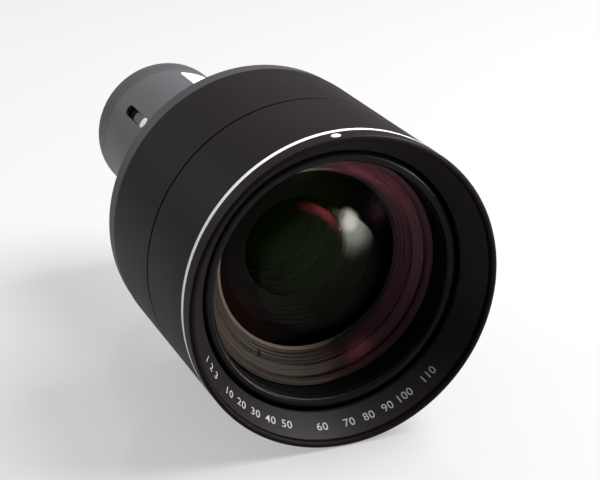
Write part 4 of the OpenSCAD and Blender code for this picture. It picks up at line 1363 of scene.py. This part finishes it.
@dataclass
class FrontGroup:
    """The glasses and light-trap rings that slide with the focus."""

    glasses: tuple[Glass, ...] = (
        Glass("front_lens", "front_glass", Coat.FRONT, front_y=-80.18, rear_y=-75.1,
              front_curve=110.0, rear_curve=160.0),
        Glass("second_lens", "second_glass", Coat.SECOND, front_y=-68.1, rear_y=-65.5,
              front_curve=75.0, rear_curve=60.0, steps=150),
        Glass("third_lens", "third_glass", Coat.THIRD, front_y=-50.3, rear_y=-41.0,
              front_curve=45.0, rear_curve=-90.0),
    )
    retainer: tuple[Corner, ...] = (
        Corner(43.3, -70.75, 0.1), Corner(43.9, -72.95, 0.25), Corner(45.6, -72.95, 0.2),
        Corner(45.6, -70.75),
    )
    outer_row: RidgeRow = RidgeRow(Corner(43.2, -69.0), Corner(39.8, -66.2), outer_r=44.1,
                                   count=3, depth=0.22)
    inner_row: RidgeRow = RidgeRow(Corner(39.5, -65.2), Corner(36.0, -59.0), outer_r=41.8,
                                   count=4, depth=0.3)
    notches: tuple[Notch, ...] = (Notch(-146.0), Notch(38.0))
    edge_chamfer: tuple[Corner, ...] = (
        Corner(35.1, -59.5, 0.1), Corner(35.95, -60.3, 0.1), Corner(36.5, -60.3),
        Corner(36.5, -59.3),
    )

    def build(self) -> None:
        """Builds and dresses the glasses, their rings and the second one's edge, painted lit
        on one side and shaded on the other.
        """
        for glass in self.glasses:
            dress(glass.build(), glass.coat, FRONT_GROUP, [glass.node])
        ring = Turning.ring("front_retaining_ring", Profile.rounded(self.retainer))
        dress(ring, Coat.RIDGE, FRONT_GROUP, ["front_retainer"])
        ring = Turning.ring("outer_ridges", self.outer_row.profile())
        dress(ring, Coat.RIDGE, FRONT_GROUP, ["front_baffle"])
        ring = Turning.ring("inner_ridges", self.inner_row.profile(), notches=self.notches)
        dress(ring, Coat.RIDGE, FRONT_GROUP, ["notched_ring"])
        # This edge ring's lit crescent and its shaded side are painted.
        ring = Turning.ring("painted_lit_edge", Profile.rounded(self.edge_chamfer))
        dress(ring, Coat.PAINTED_LIT_EDGE, FRONT_GROUP)


@dataclass
class RearBarrel:
    """The film label and the dot on the rear barrel, its end ring and the band before it."""

    ring_at: Reach = Reach.of("rear_ring")
    ring_bore: float = 20.5
    ring_lift: float = 0.04
    chamfer: float = 0.8
    edge_round: float = 0.2
    thin_round: float = 0.02
    band: float = 6.0
    band_gap: float = 0.15
    band_sunk: float = 0.2
    band_steps: int = 2
    dot_at: Reach = Reach.of("slot_dot")
    slot_angle: float = -51.0
    label_at: Reach = Reach.of("blank_label")
    label_angle: tuple[float, float] = (6.0, 44.0)
    label_corner: float = 1.5
    label_lift: float = 0.03
    label_sunk: float = 0.12
    label_steps: int = 6
    label_strips: int = 40

    def end_ring(self) -> bpy.types.Object:
        """Builds the end ring with its chamfers.

        Returns:
            The new object.
        """
        start, end, bore = self.ring_at.front, self.ring_at.rear, self.ring_bore
        proud = self.ring_at.radius + self.ring_lift
        corners = [
            Corner(proud, start, self.thin_round),
            Corner(proud, end - self.chamfer, self.edge_round),
            Corner(proud - self.chamfer, end, self.edge_round),
            Corner(bore + self.chamfer, end, self.edge_round),
            Corner(bore, end - self.chamfer, self.edge_round),
            Corner(bore, start),
        ]
        return Turning.ring("rear_end_ring", Profile.rounded(corners))

    def end_band(self) -> bpy.types.Object:
        """Builds the dark band round the barrel in front of the end ring.

        Returns:
            The new object.
        """
        low = self.ring_at.radius - self.band_sunk
        high = self.ring_at.radius + self.ring_lift
        start, end = self.ring_at.front - self.band, self.ring_at.front - self.band_gap
        corners = [
            Corner(low, end),
            Corner(high, end, self.thin_round),
            Corner(high, start, self.thin_round),
            Corner(low, start),
        ]
        return Turning.ring("rear_band", Profile.rounded(corners, self.band_steps))

    def label_outline(self, arc: float) -> list[tuple[float, float]]:
        """Gives the label's outline before it is wrapped, with round corners.

        Args:
            arc: The label's width round the barrel.

        Returns:
            The outline's points, each its place round the barrel and along the axis.
        """
        corner = self.label_corner
        near, far = self.label_at.front + corner, self.label_at.rear - corner
        left, right = corner, arc - corner
        outline = []
        for around, along, start in ((right, far, 0), (left, far, 90), (left, near, 180),
                                     (right, near, 270)):
            for k in range(self.label_steps + 1):
                turn = math.radians(start + 90 * k / self.label_steps)
                outline.append((around + corner * math.cos(turn),
                                along + corner * math.sin(turn)))
        return outline

    def label(self) -> bpy.types.Object:
        """Builds the blank film label in strips, wrapped on the barrel.

        Returns:
            The new object.
        """
        radius = self.ring_at.radius
        left, right = self.label_angle
        arc = math.radians(right - left) * radius
        outline = self.label_outline(arc)
        mesh = bmesh.new()
        top = [mesh.verts.new((a, y, self.label_lift)) for a, y in outline]
        foot = [mesh.verts.new((a, y, -self.label_sunk)) for a, y in outline]
        mesh.faces.new(top)
        mesh.faces.new(foot[::-1])
        count = len(outline)
        for i in range(count):
            j = (i + 1) % count
            mesh.faces.new((top[j], top[i], foot[i], foot[j]))
        for k in range(1, self.label_strips):
            cut = arc * k / self.label_strips
            bmesh.ops.bisect_plane(mesh, geom=mesh.verts[:] + mesh.edges[:] + mesh.faces[:],
                                   plane_co=(cut, 0, 0), plane_no=(1, 0, 0))
        for vertex in mesh.verts:
            around, y, lift = vertex.co
            vertex.co = on_round(radius + lift, y, left + math.degrees(around / radius))
        bmesh.ops.recalc_face_normals(mesh, faces=mesh.faces)
        data = bpy.data.meshes.new("film_label")
        mesh.to_mesh(data)
        mesh.free()
        return linked("film_label", data)

    def build(self) -> None:
        """Builds and dresses the marks, the end ring and its band."""
        dress(self.end_ring(), Coat.REAR_RING, HOUSING, ["rear_ring"])
        dress(self.end_band(), Coat.REAR_RING, HOUSING)
        dress(self.label(), Coat.LABEL, HOUSING, ["blank_label"])
        dot = RoundMark("slot_mark", self.dot_at, self.ring_at.radius, self.slot_angle)
        dress(dot.build(), Coat.MARK, HOUSING, ["slot_dot"])


class CadFinishes:
    """Gives every CAD node the finish of its slot in the record, or a darker one that paints
    shade.
    """

    # The zoom cam and the guide tube are painted deep black and the flange a darker grey:
    # painted shade.
    SHADE_PAINTED = {"zoom_cam": Coat.DEEP, "guide_tube": Coat.DEEP, "flange": Coat.FLANGE_PAINTED_SHADE}

    def build(self) -> None:
        """Dresses the nodes."""
        coats = {coat.slot: coat for coat in Coat if not coat.value.variant}
        slots = {p["node"]: p["material_slot"] for p in frame["record"]["subparts"]}
        for name, node in frame["nodes"].items():
            coat = self.SHADE_PAINTED.get(name, coats[slots[name]])
            material = coat.value.material()
            for holder in node.material_slots:
                holder.material = material
            if not node.material_slots:
                node.data.materials.append(material)
            LOG.info("node %s in %s", name, coat.slot)


@dataclass(frozen=True)
class Lamp:
    """A round, soft lamp that looks at a point."""

    name: str
    place: Point
    size: float
    power: float
    aim: Point = (0.0, -0.05, 0.0)
    colour: Colour = (1.0, 1.0, 1.0)

    def hang(self) -> None:
        """Adds the lamp to the scene."""
        data = bpy.data.lights.new(self.name, "AREA")
        data.shape = "DISK"
        data.size = self.size
        data.energy = self.power
        data.color = self.colour
        made = linked(self.name, data)
        made.location = self.place
        ahead = Vector(self.aim) - Vector(self.place)
        made.rotation_euler = ahead.to_track_quat("-Z", "Y").to_euler()
        made.visible_camera = False


@dataclass
class Studio:
    """The glossy floor, the white surroundings, the lamps and the camera.

    The hood lies just above the floor. The floor is lit as if it were floor_lit grey, and
    seen as floor_seen. floor_shade is how much of what is seen keeps the shadows, and
    floor_mirrored is how much it glows in gloss.
    """

    hood_at: Reach = Reach.of("front_shell")
    floor_gap: float = 0.0002
    floor_half: float = 6.0
    floor_lit: float = 0.34
    floor_seen: float = 0.57
    floor_rough: float = 0.14
    floor_specular: float = 0.6
    floor_shade: float = 0.56
    floor_mirrored: float = 0.3
    white: float = 0.945
    fill: float = 0.006
    sky: float = 0.72
    sky_lean: float = 0.5
    sky_from: float = 0.1
    sky_full: float = 1.1
    lamps: tuple[Lamp, ...] = (
        Lamp("low_key", place=(0.78, -0.84, -0.005), size=0.1, power=5.0,
             aim=(0.0, -0.08, 0.0), colour=(1.0, 0.97, 0.92)),
        Lamp("back_fill", place=(-1.1, 0.9, 0.75), size=0.9, power=7.0),
        Lamp("high_key", place=(1.2, -0.12, 1.15), size=1.5, power=64.0),
    )
    camera_place: Point = (-0.23286, -0.61298, 0.24731)
    camera_ahead: Point = (0.35585, 0.85806, -0.37028)
    lens_mm: float = 103.93
    sensor_mm: float = 36.0
    clip: tuple[float, float] = (0.01, 50.0)

    def floor(self) -> None:
        """Lays the floor, which keeps the object's shadow and mirrors it softly."""
        half, z = self.floor_half, -self.hood_at.radius * MM - self.floor_gap
        corners = [Vector((x, y, z)) for x, y in
                   ((-half, -half), (half, -half), (half, half), (-half, half))]
        plane = Turning.finish("floor", corners, [(0, 1, 2, 3)])
        material = bpy.data.materials.new("white_gloss_floor")
        sheet = Sheet(material)
        rays = sheet.make("ShaderNodeLightPath")
        seen, mirrored = rays["Is Camera Ray"], rays["Is Glossy Ray"]
        gloss = sheet.make("ShaderNodeBsdfPrincipled", {}, {
            "Base Color": sheet.mixed(seen, (self.floor_lit,) * 3, (self.floor_seen,) * 3),
            "Roughness": self.floor_rough, "Specular IOR Level": self.floor_specular})
        glow = sheet.make("ShaderNodeEmission", {}, {
            "Color": (self.white, self.white, self.white, 1.0), "Strength": 1.0})
        share = seen * (1 - self.floor_shade) + mirrored * self.floor_mirrored
        mixed = sheet.make("ShaderNodeMixShader", {}, {0: share, 1: gloss[0], 2: glow[0]})
        sheet.output(mixed[0])
        plane.data.materials.append(material)

    def world(self) -> None:
        """Makes the room white to the camera, and bright above and behind to other rays."""
        world = bpy.data.worlds.new("white_room")
        bpy.context.scene.world = world
        sheet = Sheet(world)
        ways = sheet.make("ShaderNodeTexCoord")["Generated"]
        parts = sheet.make("ShaderNodeSeparateXYZ", {}, {0: ways})
        above = sheet.smooth(parts["Z"] + self.sky_lean * parts["Y"], self.sky_from,
                             self.sky_full, self.fill, self.sky)
        seen = sheet.make("ShaderNodeLightPath")["Is Camera Ray"]
        background = sheet.make("ShaderNodeBackground", {}, {
            "Color": (1.0, 1.0, 1.0, 1.0), "Strength": above + seen * (self.white - above)})
        sheet.make("ShaderNodeOutputWorld", {}, {"Surface": background[0]})

    def camera(self) -> None:
        """Stands the camera where the photograph was taken from."""
        data = bpy.data.cameras.new("camera")
        data.lens = self.lens_mm
        data.sensor_width = self.sensor_mm
        data.clip_start, data.clip_end = self.clip
        made = linked("camera", data)
        made.location = self.camera_place
        made.rotation_mode = "QUATERNION"
        made.rotation_quaternion = Vector(self.camera_ahead).to_track_quat("-Z", "Y")
        bpy.context.scene.camera = made

    def build(self) -> None:
        """Sets the whole studio up."""
        self.floor()
        self.world()
        for lamp in self.lamps:
            lamp.hang()
        self.camera()
        bpy.context.scene.view_settings.view_transform = "Standard"


def main() -> None:
    """Builds the lens and the studio in order."""
    logging.basicConfig(level=logging.INFO, format="%(name)s: %(message)s")
    builders: Sequence[Callable[[], None]] = (
        CadFinishes().build, Hood().build, FrontTrim().build, FrontGroup().build,
        RearBarrel().build, Studio().build,
    )
    for build in builders:
        build()


if __name__ == "__main__":
    main()
